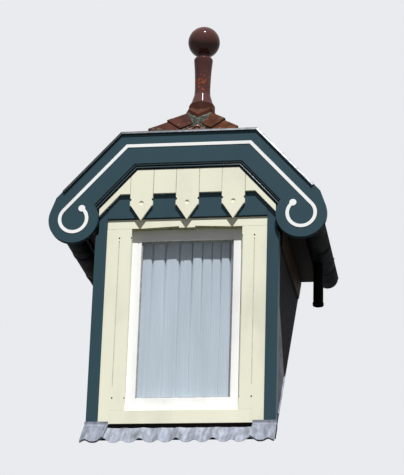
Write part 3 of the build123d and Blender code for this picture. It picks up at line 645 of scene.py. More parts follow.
def board_line(inset):
    """Foot and upper corner of the right-hand bargeboard's line, at an inset from its outer edge."""
    high = box("bargeboard_top")[1]
    z = high.z - inset
    edge = RIGHT_NORMAL.dot(Vector((high.x, 0, high.z))) - inset
    corner = Vector(((edge - z * math.cos(SLOPE)) / math.sin(SLOPE), 0, z))
    disc_low, disc_high = box("bargeboard_right")
    centre = Vector((disc_high.x - DISC_RADIUS, 0, disc_low.z + DISC_RADIUS))
    foot = centre + RIGHT_NORMAL * (DISC_RADIUS + BOARD_OUTSET - inset)
    return foot, corner


def on_mitre(edge):
    """Whether an edge lies in the joint between the level board and a raking one."""
    corner = board_line(0.0)[1]
    normal = RIGHT_NORMAL - Vector((0, 0, 1))
    points = [Vector((abs(vert.co.x), 0, vert.co.z)) for vert in edge.verts]
    return all(abs(normal.dot(point - corner)) < 0.2 * MM for point in points)


def mirror_x(vector):
    """The same point on the other side."""
    return Vector((-vector.x, vector.y, vector.z))


def half_round(centre, base, radius, steps=8):
    """Points of a rib across a profile, as (inset, forward) from its upper to its lower side."""
    turns = [math.pi * step / steps for step in range(steps + 1)]
    return [(centre - radius * math.cos(turn), base + radius * math.sin(turn)) for turn in turns]


def moulding_profile():
    """Two gloss ribs with deep grooves under them, as (inset, forward) from the moulding's back."""
    groove = MOULDING_GROOVE
    points = [(0.0, 0.0), (0.0, 11 * MM)] + half_round(6.2 * MM, 9.5 * MM, 4.5 * MM)
    points += [(10.9 * MM, groove), (18.6 * MM, groove)] + half_round(23 * MM, 5.5 * MM, 4.2 * MM)
    return points + [(27.6 * MM, groove), (MOULDING_BASE, groove), (MOULDING_BASE, 0.0)]


def capping_profile(board_front, board_back):
    """Sheet folded over the board, with a drip edge that is kicked forward, as (inset, forward)."""
    skirt, sheet, fold, drip, kick = CAPPING_SKIRT, CAPPING_SHEET, 3 * MM, 15 * MM, 9 * MM
    back, front = board_back - 3 * MM, board_front + 3.5 * MM
    outer = [(skirt, back), (-fold, back), (-fold, front), (fold, front + 0.5 * MM), (drip, front + kick)]
    inner = [(drip + 0.5 * MM, front + kick - sheet), (fold + 0.3 * MM, front - 1.2 * MM),
             (sheet - fold, front - sheet), (sheet - fold, back + sheet), (skirt, back + sheet)]
    return outer + inner


def sweep(profile, start, inset0, back):
    """Runs a profile along the bargeboard's line from above its foot, mitred at its two corners."""
    bm = bmesh.new()
    loops, rims = [], []
    down = Vector((math.cos(SLOPE), 0, -math.sin(SLOPE)))
    for station in range(4):
        ring = []
        for inset, forward in profile:
            foot, corner = board_line(inset0 + inset)
            place = (foot - down * start, corner, mirror_x(corner), mirror_x(foot - down * start))[station]
            ring.append(bm.verts.new((place.x, back - forward, place.z)))
        loops.append(ring)
        rims.append([bm.edges.new(pair) for pair in zip(ring, ring[1:] + ring[:1])])
    for first, second in zip(rims, rims[1:]):
        bmesh.ops.bridge_loops(bm, edges=first + second)
    bm.faces.new(loops[0])
    bm.faces.new(loops[-1])
    bmesh.ops.recalc_face_normals(bm, faces=bm.faces)
    return bm


class DORMER_OT_bargeboard(bpy.types.Operator):
    """Paints the bargeboard, rounds its white band and adds the ribbed moulding and metal capping"""
    bl_idname = "dormer.bargeboard"
    bl_label = "Bargeboard"

    def execute(self, context):
        finishes = context.scene.dormer_finishes
        teal = painted_timber("teal_gloss_paint_bargeboard", finishes.teal, 0.5, "X")
        # Faces of the boards that look down take a near-black teal, as painted shade.
        shaded_underside = dirt_and_shade_paint("teal_paint_painted_shade_underside", finishes.teal, 0.1, 0.25)
        for node in ["bargeboard_top"] + sides("bargeboard"):
            bm = node_copy(node)
            soften(bm, 1.6 * MM, keep=on_mitre)
            bm.normal_update()
            for face in bm.faces:
                face.material_index = int(face.normal.z < -0.3)
            new_piece(f"{node}_board", bm, teal, "teal_paint", node, others=[shaded_underside])
        white = painted_timber("white_gloss_paint_band", finishes.white, 0.45, "X")
        dressed_node("white_scroll_band", "white_band", white, "white_paint", 2.4 * MM, 3)
        back = box("bargeboard_moulding")[1].y
        board_low, board_high = box("bargeboard_top")
        gloss = painted_timber("teal_gloss_paint_moulding", finishes.teal, 0.3, "X", 0.5)
        # The moulding's grooves are painted near-black teal, as painted shade.
        grime = dirt_and_shade_paint("painted_shade_in_moulding_grooves", finishes.teal, 0.1, 0.3)
        bm = sweep(moulding_profile(), MOULDING_FOOT, board_high.z - board_low.z, back)
        for face in bm.faces:
            face.material_index = int(face.calc_center_median().y > back - MOULDING_GROOVE - 0.1 * MM)
        new_piece("ribbed_moulding", bm, gloss, "teal_paint", "bargeboard_moulding", others=[grime],
                  smooth=32.0)
        # The capping is one metal in three copies that paint its light: the right slope lit bright, the top
        # in painted half shade and the left slope in painted shade.
        bright = sheet_metal("zinc_capping_painted_lit", finishes.capping, 0.3, 0.4, 1.0)
        dull = sheet_metal("zinc_capping_painted_half_shade", shade(finishes.capping, 0.4), 0.1, 0.5, 1.0, 0.2)
        black = sheet_metal("zinc_capping_painted_shade", shade(finishes.capping, 0.1), 0.0, 0.6, 1.0, 0.1)
        bm = sweep(capping_profile(-board_low.y, -board_high.y), CAPPING_FOOT, 0.0, 0.0)
        level = board_high.x - 4 * MM
        for face in bm.faces:
            place = face.calc_center_median().x
            face.material_index = int(place < level) + int(place < -level)
        soften(bm, 0.4 * MM, 1)
        new_piece("zinc_capping", bm, bright, "lead_sheet", "edge_capping", others=[dull, black])
        return {"FINISHED"}


JOINT_CHAMFER = 2.5 * MM


class DORMER_OT_valance(bpy.types.Operator):
    """Paints the pointed and square boards of the valance"""
    bl_idname = "dormer.valance"
    bl_label = "Valance"

    def execute(self, context):
        finishes = context.scene.dormer_finishes
        cream = painted_timber("cream_gloss_paint_valance", finishes.cream, 0.5, "Z")
        # The chamfered joints between the boards are darker, as dirt and painted shade.
        joint = dirt_and_shade_paint("cream_paint_dirt_and_shade_in_joint", finishes.cream, 0.4, 0.65)
        for node in ("pointed_valance_boards", "short_valance_boards"):
            bm = node_copy(node)
            front = box(node)[0].y
            upright = [edge for edge in bm.edges if edge.calc_length() > 60 * MM
                       and max(abs(vert.co.y - front) for vert in edge.verts) < 0.1 * MM
                       and abs(edge.verts[0].co.x - edge.verts[1].co.x) < 1 * MM]
            made = bmesh.ops.bevel(bm, geom=upright, offset=JOINT_CHAMFER, offset_type="OFFSET", segments=1,
                                   profile=0.5, affect="EDGES", material=-1, clamp_overlap=True)
            for face in made["faces"]:
                face.material_index = 1
            soften(bm, 1.2 * MM)
            new_piece(f"{node}_painted", bm, cream, "cream_paint", node, others=[joint])
        return {"FINISHED"}


# Cheeks and roof timber

class DORMER_OT_cheeks(bpy.types.Operator):
    """Boards the cheeks and paints them, with the stained frieze above and the lead below"""
    bl_idname = "dormer.cheeks"
    bl_label = "Cheeks"

    def execute(self, context):
        finishes, details = context.scene.dormer_finishes, context.scene.dormer_details
        # The cheek paint is darkened nearly to black, as painted shade under the eaves.
        paint = painted_timber("cheek_board_paint_darkened_as_shade", finishes.cheek, 0.8, "Z", 0.02)
        stain = sawn_wood("brown_stained_boards", finishes.stain, "Y", 0.6)
        lining = sawn_wood("planed_softwood_lining", finishes.timber, "Z", 0.6)
        # The upstand's lead is darkened to a quarter, as painted shade under the eaves.
        lead = sheet_metal("lead_upstand_darkened_as_shade", shade(finishes.lead, 0.25), 0.1, 0.6, 0.2, 0.2)
        welt = sheet_metal("bright_lead_welt", finishes.lead, 0.25, 0.5, 0.2)
        for side in ("right", "left"):
            bm = split_boards(f"cheek_{side}", (0, 1, 0), details.cheek_board, 1.5 * MM, 2.5 * MM)
            bm.normal_update()
            for face in bm.faces:
                inward = -math.copysign(1.0, face.calc_center_median().x)
                face.material_index = int(face.normal.x * inward > 0.9)
            new_piece(f"cheek_boards_{side}", bm, paint, "grey_board", f"cheek_{side}", others=[lining])
            dressed_node(f"stained_frieze_{side}", f"frieze_board_{side}", stain, "brown_board",
                         details.board_round)
            dressed_node(f"lead_upstand_{side}", f"cheek_lead_{side}", lead, "lead_sheet", 1.0 * MM)
            low, high = box(f"cheek_lead_{side}")
            outer = (low.x + high.x) / 2 + math.copysign(6 * MM, low.x)
            foot = Vector((outer, low.y, low.z + 9 * MM))
            head = foot + Vector((0, high.y - low.y, (high.y - low.y) * math.tan(ROOF_PITCH)))
            bar = round_bar(foot, head, 5 * MM)
            new_piece(f"lead_welt_{side}", bar, welt, "lead_sheet", smooth=40.0)
        return {"FINISHED"}


class DORMER_OT_roof_timber(bpy.types.Operator):
    """Lays the roof boards on rafters and a ridge board"""
    bl_idname = "dormer.roof_timber"
    bl_label = "Roof timber"

    def execute(self, context):
        finishes, details = context.scene.dormer_finishes, context.scene.dormer_details
        along = sawn_wood("sawn_softwood_roof_boards", finishes.timber, "Y")
        level = sawn_wood("sawn_softwood_front_boards", finishes.timber, "X")
        rafter = sawn_wood("sawn_softwood_rafters", shade(finishes.timber, 0.9), "X")
        up_right = Vector((-math.cos(SLOPE), 0, math.sin(SLOPE)))
        up_front = Vector((0, math.cos(HIP_PITCH), math.sin(HIP_PITCH)))
        decks = (("roof_deck_right", up_right, along), ("roof_deck_left", mirror_x(up_right), along),
                 ("roof_deck_front", up_front, level))
        for node, up, material in decks:
            bm = split_boards(node, up, details.deck_board, 2 * MM, 1.5 * MM)
            new_piece(f"{node}_boards", bm, material, "sawn_timber", node)
        for node in sides("rafters") + ["ridge_board"]:
            material = along if node == "ridge_board" else rafter
            dressed_node(f"{node}_sawn", node, material, "sawn_timber", 1.5 * MM)
        return {"FINISHED"}


# Tiles, caps and finial

TILE_LAP = 24 * MM
TILE_HEAD_LAP = 60 * MM
TILE_THICKNESS = 12 * MM
TILE_FOOT_DROP = 24 * MM
TILE_TILT = 14 * MM
ROLL_HEIGHT = 22 * MM
ROLL_WIDTH = 54 * MM
RIB_HEIGHT = 5 * MM
RIB_HALF_WIDTH = 15 * MM
LIP_RISE = 3 * MM
LIP_LENGTH = 26 * MM
NOSE_DROP = 6 * MM
NOSE_LENGTH = 9 * MM


def tile_rise(x, y, cover, gauge):
    """Height of a tile's upper face below the tile plane, x across and y up from its foot."""
    height = -TILE_FOOT_DROP - TILE_TILT * y / gauge
    roll = (x - (cover + TILE_LAP - ROLL_WIDTH)) / ROLL_WIDTH
    if roll > 0:
        height += ROLL_HEIGHT * math.sin(0.88 * math.pi * roll) ** 0.8
    rib = (x - cover / 2) / RIB_HALF_WIDTH
    if abs(rib) < 1:
        height += RIB_HEIGHT * math.cos(rib * math.pi / 2) ** 2
    height += LIP_RISE * max(0.0, 1 - y / LIP_LENGTH) ** 2
    return height - NOSE_DROP * max(0.0, 1 - y / NOSE_LENGTH) ** 2


def tile_template(cover, gauge):
    """One interlocking tile with a side roll, a middle rib and a lip at its foot."""
    width, length = cover + TILE_LAP, gauge + TILE_HEAD_LAP
    bm = bmesh.new()
    bmesh.ops.create_grid(bm, x_segments=38, y_segments=12, size=0.5)
    for vert in bm.verts:
        x, y = (vert.co.x + 0.5) * width, (vert.co.y + 0.5) ** 1.9 * length
        vert.co = (x, y, tile_rise(x, y, cover, gauge))
    thicken(bm, (0, 0, -TILE_THICKNESS))
    return bm


def lay_slope(corner, across, up, columns, courses, planes, details, seed):
    """Covers a slope with tiles from its lower left corner, cut by planes; each tile has its own tone."""
    template = tile_template(details.tile_cover, details.tile_gauge)
    normal = across.cross(up)
    chance = random.Random(seed)
    slope = bmesh.new()
    for course in range(courses):
        for column in range(columns):
            tile = template.copy()
            jitter = across * chance.uniform(-1.0, 1.0) * MM + up * chance.uniform(-2.0, 2.0) * MM
            place = corner + across * column * details.tile_cover + up * course * details.tile_gauge + jitter
            lean = Matrix.Rotation(math.radians(chance.uniform(-0.25, 0.25)), 3, normal)
            axes = lean @ Matrix((across, up, normal)).transposed()
            tile.transform(Matrix.Translation(place) @ axes.to_4x4())
            tone = chance.random()
            if trim(tile, planes):
                add_part(slope, tile, tone)
            else:
                tile.free()
    template.free()
    return slope


VALLEY_CLEAR = 6 * MM
RIDGE_CLEAR = 3 * MM


class DORMER_OT_tiles(bpy.types.Operator):
    """Lays interlocking tiles on the three slopes"""
    bl_idname = "dormer.tiles"
    bl_label = "Roof tiles"

    def execute(self, context):
        finishes, details = context.scene.dormer_finishes, context.scene.dormer_details
        clay = engobed_tile("brown_engobed_clay_tile", finishes.tile)
        drip_z = (TILE_OFFSET - DRIP * math.sin(SLOPE)) / math.cos(SLOPE)
        courses = math.ceil(DRIP / math.cos(SLOPE) / details.tile_gauge)
        columns = math.ceil((RIGHT_TILES[1].y - TILE_FRONT) / details.tile_cover)
        back = TILE_FRONT + columns * details.tile_cover
        # Seen from outside, the right slope's rows start at the front, and the left slope's at the back.
        for side, sign, normal, start, seed in (("right", 1, RIGHT_NORMAL, TILE_FRONT, 11),
                                                ("left", -1, LEFT_NORMAL, back, 12)):
            planes = [(HIP_NORMAL - normal, HIP_OFFSET - TILE_OFFSET), (-SEAT_NORMAL, -VALLEY_CLEAR),
                      (Vector((-sign, 0, 0)), -RIDGE_CLEAR)]
            if side == "left":
                planes.append((Vector((0, -1, 0)), -TILE_FRONT))
            up = Vector((-sign * math.cos(SLOPE), 0, math.sin(SLOPE)))
            bm = lay_slope(Vector((sign * DRIP, start, drip_z)), Vector((0, sign, 0)), up, columns, courses,
                           planes, details, seed)
            new_piece(f"tiled_slope_{side}", bm, clay, "clay_tile", f"roof_tiles_{side}", smooth=50.0,
                      flats=False)
        low, high = box("roof_tiles_front")
        foot_z = (HIP_OFFSET + TILE_FRONT * math.sin(HIP_PITCH)) / math.cos(HIP_PITCH)
        up = Vector((0, math.cos(HIP_PITCH), math.sin(HIP_PITCH)))
        columns = math.ceil((high.x - low.x) / details.tile_cover)
        courses = math.ceil((APEX.y - TILE_FRONT) / math.cos(HIP_PITCH) / details.tile_gauge)
        planes = [(RIGHT_NORMAL - HIP_NORMAL, TILE_OFFSET - HIP_OFFSET),
                  (LEFT_NORMAL - HIP_NORMAL, TILE_OFFSET - HIP_OFFSET)]
        corner = Vector((-columns * details.tile_cover / 2, TILE_FRONT, foot_z))
        bm = lay_slope(corner, Vector((1, 0, 0)), up, columns, courses, planes, details, 13)
        new_piece("tiled_slope_front", bm, clay, "clay_tile", "roof_tiles_front", smooth=50.0, flats=False)
        return {"FINISHED"}


CAP_WING = 122 * MM
CAP_THICKNESS = 14 * MM
CAP_LAP = 46 * MM
HIP_STEEPER = math.radians(20.0)
RIDGE_STEEPER = math.radians(4.0)
CAP_LIFT = 30 * MM
CAP_LAP_RISE = 17 * MM
CAP_TAPER = 0.94
BED_DEPTH = 34 * MM
HIP_START = 0.145
RIDGE_START = 0.165
RIDGE_CAP_LENGTHENING = 1.3
SADDLE_TONE = 0.35
SADDLE_BED_REACH = 1.13
SADDLE_BED_DROP = 36 * MM
SADDLE_BED_TOP = 30 * MM


def wings(along, normals, steeper):
    """Crown direction of a folded cap, and the way down and the normal of each of its two wings."""
    crown = (normals[0] + normals[1]).normalized()
    middle = crown.cross(along)
    made = []
    for normal in normals:
        outward = middle if middle.dot(normal) > 0 else -middle
        down = along.cross(normal).normalized()
        if down.dot(outward) < 0:
            down = -down
        made.append((down * math.cos(steeper) - normal * math.sin(steeper),
                     normal * math.cos(steeper) + down * math.sin(steeper)))
    return crown, middle, made


def cap_section(centre, crown, pair, lift, length, thickness):
    """Six corners of a folded cap's section round a point of the crown line."""
    first, second = pair
    top = centre + crown * lift
    under = top - crown * (thickness / crown.dot(first[1]))
    return [top, top + first[0] * length, top + first[0] * length - first[1] * thickness, under,
            top + second[0] * length - second[1] * thickness, top + second[0] * length]


def prism(first, second):
    """Closed shape between two outlines with as many corners."""
    bm = bmesh.new()
    start = bm.faces.new([bm.verts.new(point) for point in first])
    moved = bmesh.ops.extrude_face_region(bm, geom=[start])
    ends = {tuple(round(value, 6) for value in point): target for point, target in zip(first, second)}
    for item in moved["geom"]:
        if isinstance(item, bmesh.types.BMVert):
            item.co = ends[tuple(round(value, 6) for value in item.co)]
    bmesh.ops.recalc_face_normals(bm, faces=bm.faces)
    return bm


def cap_run(start, along, normals, steeper, total, exposure, planes, seed):
    """Folded cap tiles in a row; the raised end of each lies over the next."""
    crown, middle, pair = wings(along, normals, steeper)
    chance = random.Random(seed)
    run = bmesh.new()
    for index in range(math.ceil(total / exposure)):
        head = start + along * (index * exposure - CAP_LAP)
        foot = head + along * (exposure + CAP_LAP)
        sway = middle * chance.uniform(-3.0, 3.0) * MM
        length = CAP_WING * chance.uniform(0.97, 1.03)
        cap = prism(cap_section(head, crown, pair, CAP_LIFT, length * CAP_TAPER, CAP_THICKNESS),
                    cap_section(foot + sway, crown, pair, CAP_LIFT + CAP_LAP_RISE, length, CAP_THICKNESS))
        tone = chance.random()
        if trim(cap, planes):
            soften(cap, 4 * MM, 3)
            roughen(cap, 0.05, 1.2 * MM, 3, 0.03)
            add_part(run, cap, tone)
        else:
            cap.free()
    return run


def mortar_run(start, along, normals, steeper, total, planes):
    """Bedding under a row of caps, out to just inside their wings."""
    crown, _, pair = wings(along, normals, steeper)
    section = cap_section(start, crown, pair, CAP_LIFT - 5 * MM, CAP_WING - 6 * MM, BED_DEPTH)
    bed = prism(section, [point + along * total for point in section])
    trim(bed, planes)
    roughen(bed, 0.022, 6 * MM, 6, 0.016)
    return bed


class DORMER_OT_caps(bpy.types.Operator):
    """Beds cap tiles in mortar along the hips and the ridge, with the saddle over their meeting"""
    bl_idname = "dormer.caps"
    bl_label = "Hip and ridge caps"

    def execute(self, context):
        finishes, details = context.scene.dormer_finishes, context.scene.dormer_details
        clay = cap_clay("red_unglazed_clay_caps", finishes.cap)
        bedding = weathered_mortar("mossy_cement_mortar", finishes.mortar)
        front = (Vector((0, -1, 0)), -TILE_FRONT)
        seat = (-SEAT_NORMAL, -VALLEY_CLEAR)
        for side, normal, seed in (("right", RIGHT_NORMAL, 21), ("left", LEFT_NORMAL, 22)):
            along = HIP_NORMAL.cross(normal).normalized()
            along = along if along.z < 0 else -along
            start = APEX + along * HIP_START
            total = (APEX.y - TILE_FRONT) / -along.y - HIP_START
            bm = cap_run(start, along, (normal, HIP_NORMAL), HIP_STEEPER, total, details.cap_exposure,
                         [front], seed)
            new_piece(f"hip_caps_{side}", bm, clay, "cap_tile", f"hip_tiles_{side}")
            bm = mortar_run(start, along, (normal, HIP_NORMAL), HIP_STEEPER, total, [front])
            new_piece(f"hip_mortar_{side}", bm, bedding, "cap_tile", smooth=60.0, flats=False)
        along = Vector((0, 1, 0))
        total = box("ridge_tiles")[1].y - APEX.y - RIDGE_START
        start = APEX + along * RIDGE_START
        normals = (RIGHT_NORMAL, LEFT_NORMAL)
        exposure = details.cap_exposure * RIDGE_CAP_LENGTHENING
        bm = cap_run(start, along, normals, RIDGE_STEEPER, total, exposure, [seat], 23)
        new_piece("ridge_caps", bm, clay, "cap_tile", "ridge_tiles")
        bm = mortar_run(start, along, normals, RIDGE_STEEPER, total, [seat])
        new_piece("ridge_mortar", bm, bedding, "cap_tile", smooth=60.0, flats=False)
        saddle = node_copy("saddle_tile")
        soften(saddle, 5 * MM, 3)
        layer = saddle.faces.layers.float.new("tone")
        for face in saddle.faces:
            face[layer] = SADDLE_TONE
        new_piece("saddle_cap", saddle, clay, "cap_tile", "saddle_tile")
        new_piece("saddle_mortar", saddle_bed(), bedding, "cap_tile", smooth=60.0, flats=False)
        return {"FINISHED"}


def saddle_bed():
    """Mortar that squeezes out under the saddle's edges."""
    bed = node_copy("saddle_tile")
    cut(bed, Vector((0, 0, 1)), box("saddle_tile")[1].z - SADDLE_BED_TOP)
    centre = Matrix.Translation(APEX)
    bed.transform(centre @ Matrix.Scale(SADDLE_BED_REACH, 4) @ centre.inverted())
    bmesh.ops.translate(bed, verts=bed.verts, vec=(0, 0, -SADDLE_BED_DROP))
    roughen(bed, 0.022, 7 * MM, 6, 0.016)
    return bed


def spun(profile, centre, steps=64):
    """Solid of revolution from (radius, height) points, about the upright through a centre."""
    bm = bmesh.new()
    verts = [bm.verts.new((radius, 0, height)) for radius, height in profile]
    edges = [bm.edges.new(pair) for pair in zip(verts, verts[1:])]
    bmesh.ops.spin(bm, geom=verts + edges, cent=(0, 0, 0), axis=(0, 0, 1), angle=math.tau, steps=steps,
                   use_merge=True, use_duplicate=False)
    bmesh.ops.remove_doubles(bm, verts=bm.verts, dist=0.05 * MM)
    bmesh.ops.recalc_face_normals(bm, faces=bm.faces)
    bmesh.ops.translate(bm, verts=bm.verts, vec=centre)
    return bm


def arc_points(first, middle, last, steps):
    """Points of a smooth curve through three profile points, as heights evenly spaced."""
    made = []
    for step in range(steps + 1):
        height = first[1] + (last[1] - first[1]) * step / steps
        weights = [(height - b[1]) * (height - c[1]) / ((a[1] - b[1]) * (a[1] - c[1]))
                   for a, b, c in ((first, middle, last), (middle, first, last), (last, first, middle))]
        made.append((sum(w * p[0] for w, p in zip(weights, (first, middle, last))), height))
    return made


class DORMER_OT_finial(bpy.types.Operator):
    """Turns the glazed finial column and its ball"""
    bl_idname = "dormer.finial"
    bl_label = "Finial"

    def execute(self, context):
        finishes = context.scene.dormer_finishes
        glaze = glazed_clay("brown_glazed_stoneware", finishes.glaze)
        low, high = box("finial_column")
        rim, height = (high.x - low.x) / 2, high.z - low.z
        foot, flare, waist = (77 * MM, 16 * MM), (56.5 * MM, 84 * MM), (54.5 * MM, 165 * MM)
        shoulder, neck = (66 * MM, height - 42 * MM), 46 * MM
        profile = [(0, 0), (rim - 4 * MM, 0), (rim - 1 * MM, 2 * MM), (rim, 6 * MM), (rim - 1 * MM, 11 * MM),
                   (rim - 5 * MM, 14 * MM)]
        # Points near both ends of the cone keep its gloss one straight line.
        for share in (0.0, 0.07, 0.5, 0.93):
            profile.append(tuple(a + (b - a) * share for a, b in zip(foot, flare)))
        profile += arc_points(flare, (54.5 * MM, 110 * MM), waist, 8)
        profile += arc_points(waist, (58 * MM, (waist[1] + shoulder[1]) / 2), shoulder, 10)[1:]
        for step in range(1, 6):
            turn = math.pi / 2 * step / 5
            width = neck + (shoulder[0] - neck) * math.cos(turn)
            profile.append((width, shoulder[1] + 19 * MM * math.sin(turn)))
        profile += [(neck, height), (0, height)]
        bm = spun(profile, (APEX.x, APEX.y, low.z))
        new_piece("glazed_column", bm, glaze, "glazed_clay", "finial_column", smooth=50.0, flats=False)
        low, high = BALL
        radius = (high.x - low.x) / 2
        bm = bmesh.new()
        bmesh.ops.create_uvsphere(bm, u_segments=64, v_segments=40, radius=radius)
        bmesh.ops.translate(bm, verts=bm.verts, vec=(APEX.x, APEX.y, high.z - radius))
        new_piece("glazed_ball", bm, glaze, "glazed_clay", "finial_ball", smooth=60.0, flats=False)
        return {"FINISHED"}


# Eaves and leadwork

def round_bar(start, end, radius, segments=12):
    """Round bar between two points."""
    start, end = Vector(start), Vector(end)
    bm = bmesh.new()
    bmesh.ops.create_cone(bm, cap_ends=True, segments=segments, radius1=radius, radius2=radius,
                          depth=(end - start).length)
    turn = (end - start).to_track_quat("Z", "Y").to_matrix().to_4x4()
    bm.transform(Matrix.Translation((start + end) / 2) @ turn)
    return bm


def bracket(sign, y, centre, radius, width, thickness):
    """Strap under the gutter, from its front bead round to the fascia."""
    bm = bmesh.new()
    steps = 16
    ring = []
    for step in range(steps + 1):
        turn = math.pi * (1 + step / steps)
        x, z = centre.x + sign * radius * math.cos(turn), centre.z + radius * math.sin(turn)
        ring.append(bm.verts.new((x, y, z)))
    edges = [bm.edges.new(pair) for pair in zip(ring, ring[1:])]
    made = bmesh.ops.extrude_edge_only(bm, edges=edges)
    moved = [item for item in made["geom"] if isinstance(item, bmesh.types.BMVert)]
    bmesh.ops.translate(bm, verts=moved, vec=(0, width, 0))
    grown = bmesh.ops.extrude_face_region(bm, geom=bm.faces[:])
    for item in grown["geom"]:
        if isinstance(item, bmesh.types.BMVert):
            out = Vector((item.co.x - centre.x, 0, item.co.z - centre.z)).normalized()
            item.co += out * thickness
    bmesh.ops.recalc_face_normals(bm, faces=bm.faces)
    return bm


class DORMER_OT_eaves(bpy.types.Operator):
    """Stains the eave boards and hangs the zinc gutters and their downpipe"""
    bl_idname = "dormer.eaves"
    bl_label = "Eaves"

    def execute(self, context):
        finishes, details = context.scene.dormer_finishes, context.scene.dormer_details
        # The eave boards take the stain at a third, as painted shade under the eaves.
        stain = sawn_wood("stained_eave_boards_darkened_as_shade", shade(finishes.stain, 0.3), "Y", 0.6)
        # The gutters, their fittings and the downpipe are near black, as painted shade under the eaves.
        zinc = sheet_metal("zinc_gutter_darkened_as_shade", finishes.zinc, 0.0, 0.6, 1.0, 0.01)
        for side, sign in (("right", 1), ("left", -1)):
            dressed_node(f"stained_eave_{side}", f"eave_boards_{side}", stain, "brown_board",
                         details.board_round)
            node = f"eave_gutter_{side}"
            low, high = box(node)
            radius = (high.x - low.x) / 2
            centre = Vector(((low.x + high.x) / 2, 0, low.z + radius))
            dressed_node(f"zinc_{node}", node, zinc, "lead_sheet", 0.8 * MM, smooth=30.0)
            lip = centre.x + sign * (radius - 3 * MM)
            bead = centre.z + 2 * MM
            fittings = round_bar((lip, low.y, bead), (lip, high.y, bead), 7 * MM, 16)
            y = low.y + 0.12
            while y < high.y - 0.05:
                add_part(fittings, bracket(sign, y, centre, radius + 0.5 * MM, 25 * MM, 3 * MM))
                y += details.bracket_spacing
            new_piece(f"gutter_fittings_{side}", fittings, zinc, "lead_sheet", smooth=40.0)
        bm = node_copy("downpipe")
        low, high = box("downpipe")
        middle, radius = (low + high) / 2, (high.x - low.x) / 2
        soften(bm, 1.0 * MM, 2)
        for height in (low.z + 2 * MM, high.z - 75 * MM):
            collar = spun([(radius + 0.3 * MM, 0), (radius + 3.5 * MM, 2 * MM), (radius + 3.5 * MM, 20 * MM),
                           (radius + 0.3 * MM, 22 * MM)], (middle.x, middle.y, height), 40)
            add_part(bm, collar)
        new_piece("zinc_downpipe", bm, zinc, "lead_sheet", "downpipe", smooth=30.0)
        return {"FINISHED"}


LEAD_THICKNESS = 2.2 * MM
APRON_LAP = 41 * MM
CORNER_RISE = 13 * MM
CORNER_INNER = 0.455


def tile_wave(x, cover):
    """How much the main roof's tiles lift a sheet dressed over them: a roll and a lower rib for each tile."""
    total = 0.0
    for shift, height, half in ((0.5, 1.0, 0.17), (0.0, 0.55, 0.13)):
        place = (x / cover + shift) % 1.0 - 0.5
        total += height * math.exp(-(place / half) ** 2 * 1.6)
    return total


def dressed_lead(x0, x1, top, front, foot, length, cover, lift):
    """Sheet with a short upstand, bent down over the tiles and beaten to their rolls."""
    bm = bmesh.new()
    across, down = max(8, int((x1 - x0) / (5 * MM))), 22
    bmesh.ops.create_grid(bm, x_segments=across, y_segments=down, size=0.5)
    slope = Vector((0, -math.cos(ROOF_PITCH), -math.sin(ROOF_PITCH)))
    upstand = (top - foot) / (top - foot + length)
    for vert in bm.verts:
        u, v = vert.co.x + 0.5, 0.5 - vert.co.y
        x = x0 + (x1 - x0) * u
        wave = tile_wave(x, cover)
        if v < upstand:
            place = Vector((x, front, top + (foot - top) * v / upstand))
        else:
            run = (v - upstand) / (1 - upstand)
            shorter = 1 - 0.09 * wave * run
            beaten = 2 * MM * noise.noise(Vector((x * 30, run * 3, 1)))
            raised = lift + ROLL_HEIGHT * wave * min(1.0, run * 1.6) + beaten
            place = Vector((x, front, foot)) + slope * length * run * shorter + SEAT_NORMAL * raised
        vert.co = place
    thicken(bm, SEAT_NORMAL * -LEAD_THICKNESS)
    return bm


def reach_under_tiles(bm):
    """Carries a valley's sheet on from the tiles' upper side to the roof boards under them."""
    across = SEAT_NORMAL * RIGHT_NORMAL.dot(SEAT_NORMAL) - RIGHT_NORMAL
    width = (TILE_OFFSET - DECK_OFFSET - 1 * MM) / -RIGHT_NORMAL.dot(across)
    for vert in bm.verts:
        side = math.copysign(1.0, vert.co.x)
        if RIGHT_NORMAL.dot(Vector((abs(vert.co.x), 0, vert.co.z))) < TILE_OFFSET + 1 * MM:
            vert.co += Vector((across.x * side, across.y, across.z)) * width


class DORMER_OT_leadwork(bpy.types.Operator):
    """Dresses the lead apron over the main roof's tiles, with its corners and the valleys"""
    bl_idname = "dormer.leadwork"
    bl_label = "Leadwork"

    def execute(self, context):
        finishes, details = context.scene.dormer_finishes, context.scene.dormer_details
        lead = sheet_metal("weathered_lead_sheet", finishes.lead, 0.3, 0.42, 0.25)
        older = sheet_metal("older_lead_corner", shade(finishes.lead, 0.78), 0.25, 0.5, 0.25)
        # The valley lead is darkened to under a third, as painted shade.
        soiled = sheet_metal("lead_valley_darkened_as_shade", shade(finishes.lead, 0.3), 0.1, 0.6, 0.25, 0.2)
        low, high = box("lead_apron")
        length = (high.y - low.y) / math.cos(ROOF_PITCH) * 0.93
        foot = low.z + (high.y - low.y) * math.tan(ROOF_PITCH)
        cover = details.tile_cover
        bm = dressed_lead(low.x, high.x, high.z - APRON_LAP, high.y - 2.5 * MM, foot, length, cover, 2 * MM)
        new_piece("lead_apron_dressed", bm, lead, "lead_sheet", "lead_apron", smooth=60.0, flats=False)
        front = box("corner_post_right")[0].y - 3.5 * MM
        for side, x0, x1 in (("right", CORNER_INNER, high.x), ("left", low.x, -CORNER_INNER)):
            bm = dressed_lead(x0, x1, high.z + CORNER_RISE, front, foot + 5 * MM, length, cover, 3 * MM)
            new_piece(f"lead_corner_{side}", bm, older, "lead_sheet", smooth=60.0, flats=False)
        for node in sides("valley_lead"):
            bm = node_copy(node)
            reach_under_tiles(bm)
            soften(bm, 1.0 * MM)
            new_piece(f"{node}_sheet", bm, soiled, "lead_sheet", node)
        return {"FINISHED"}


# Stage

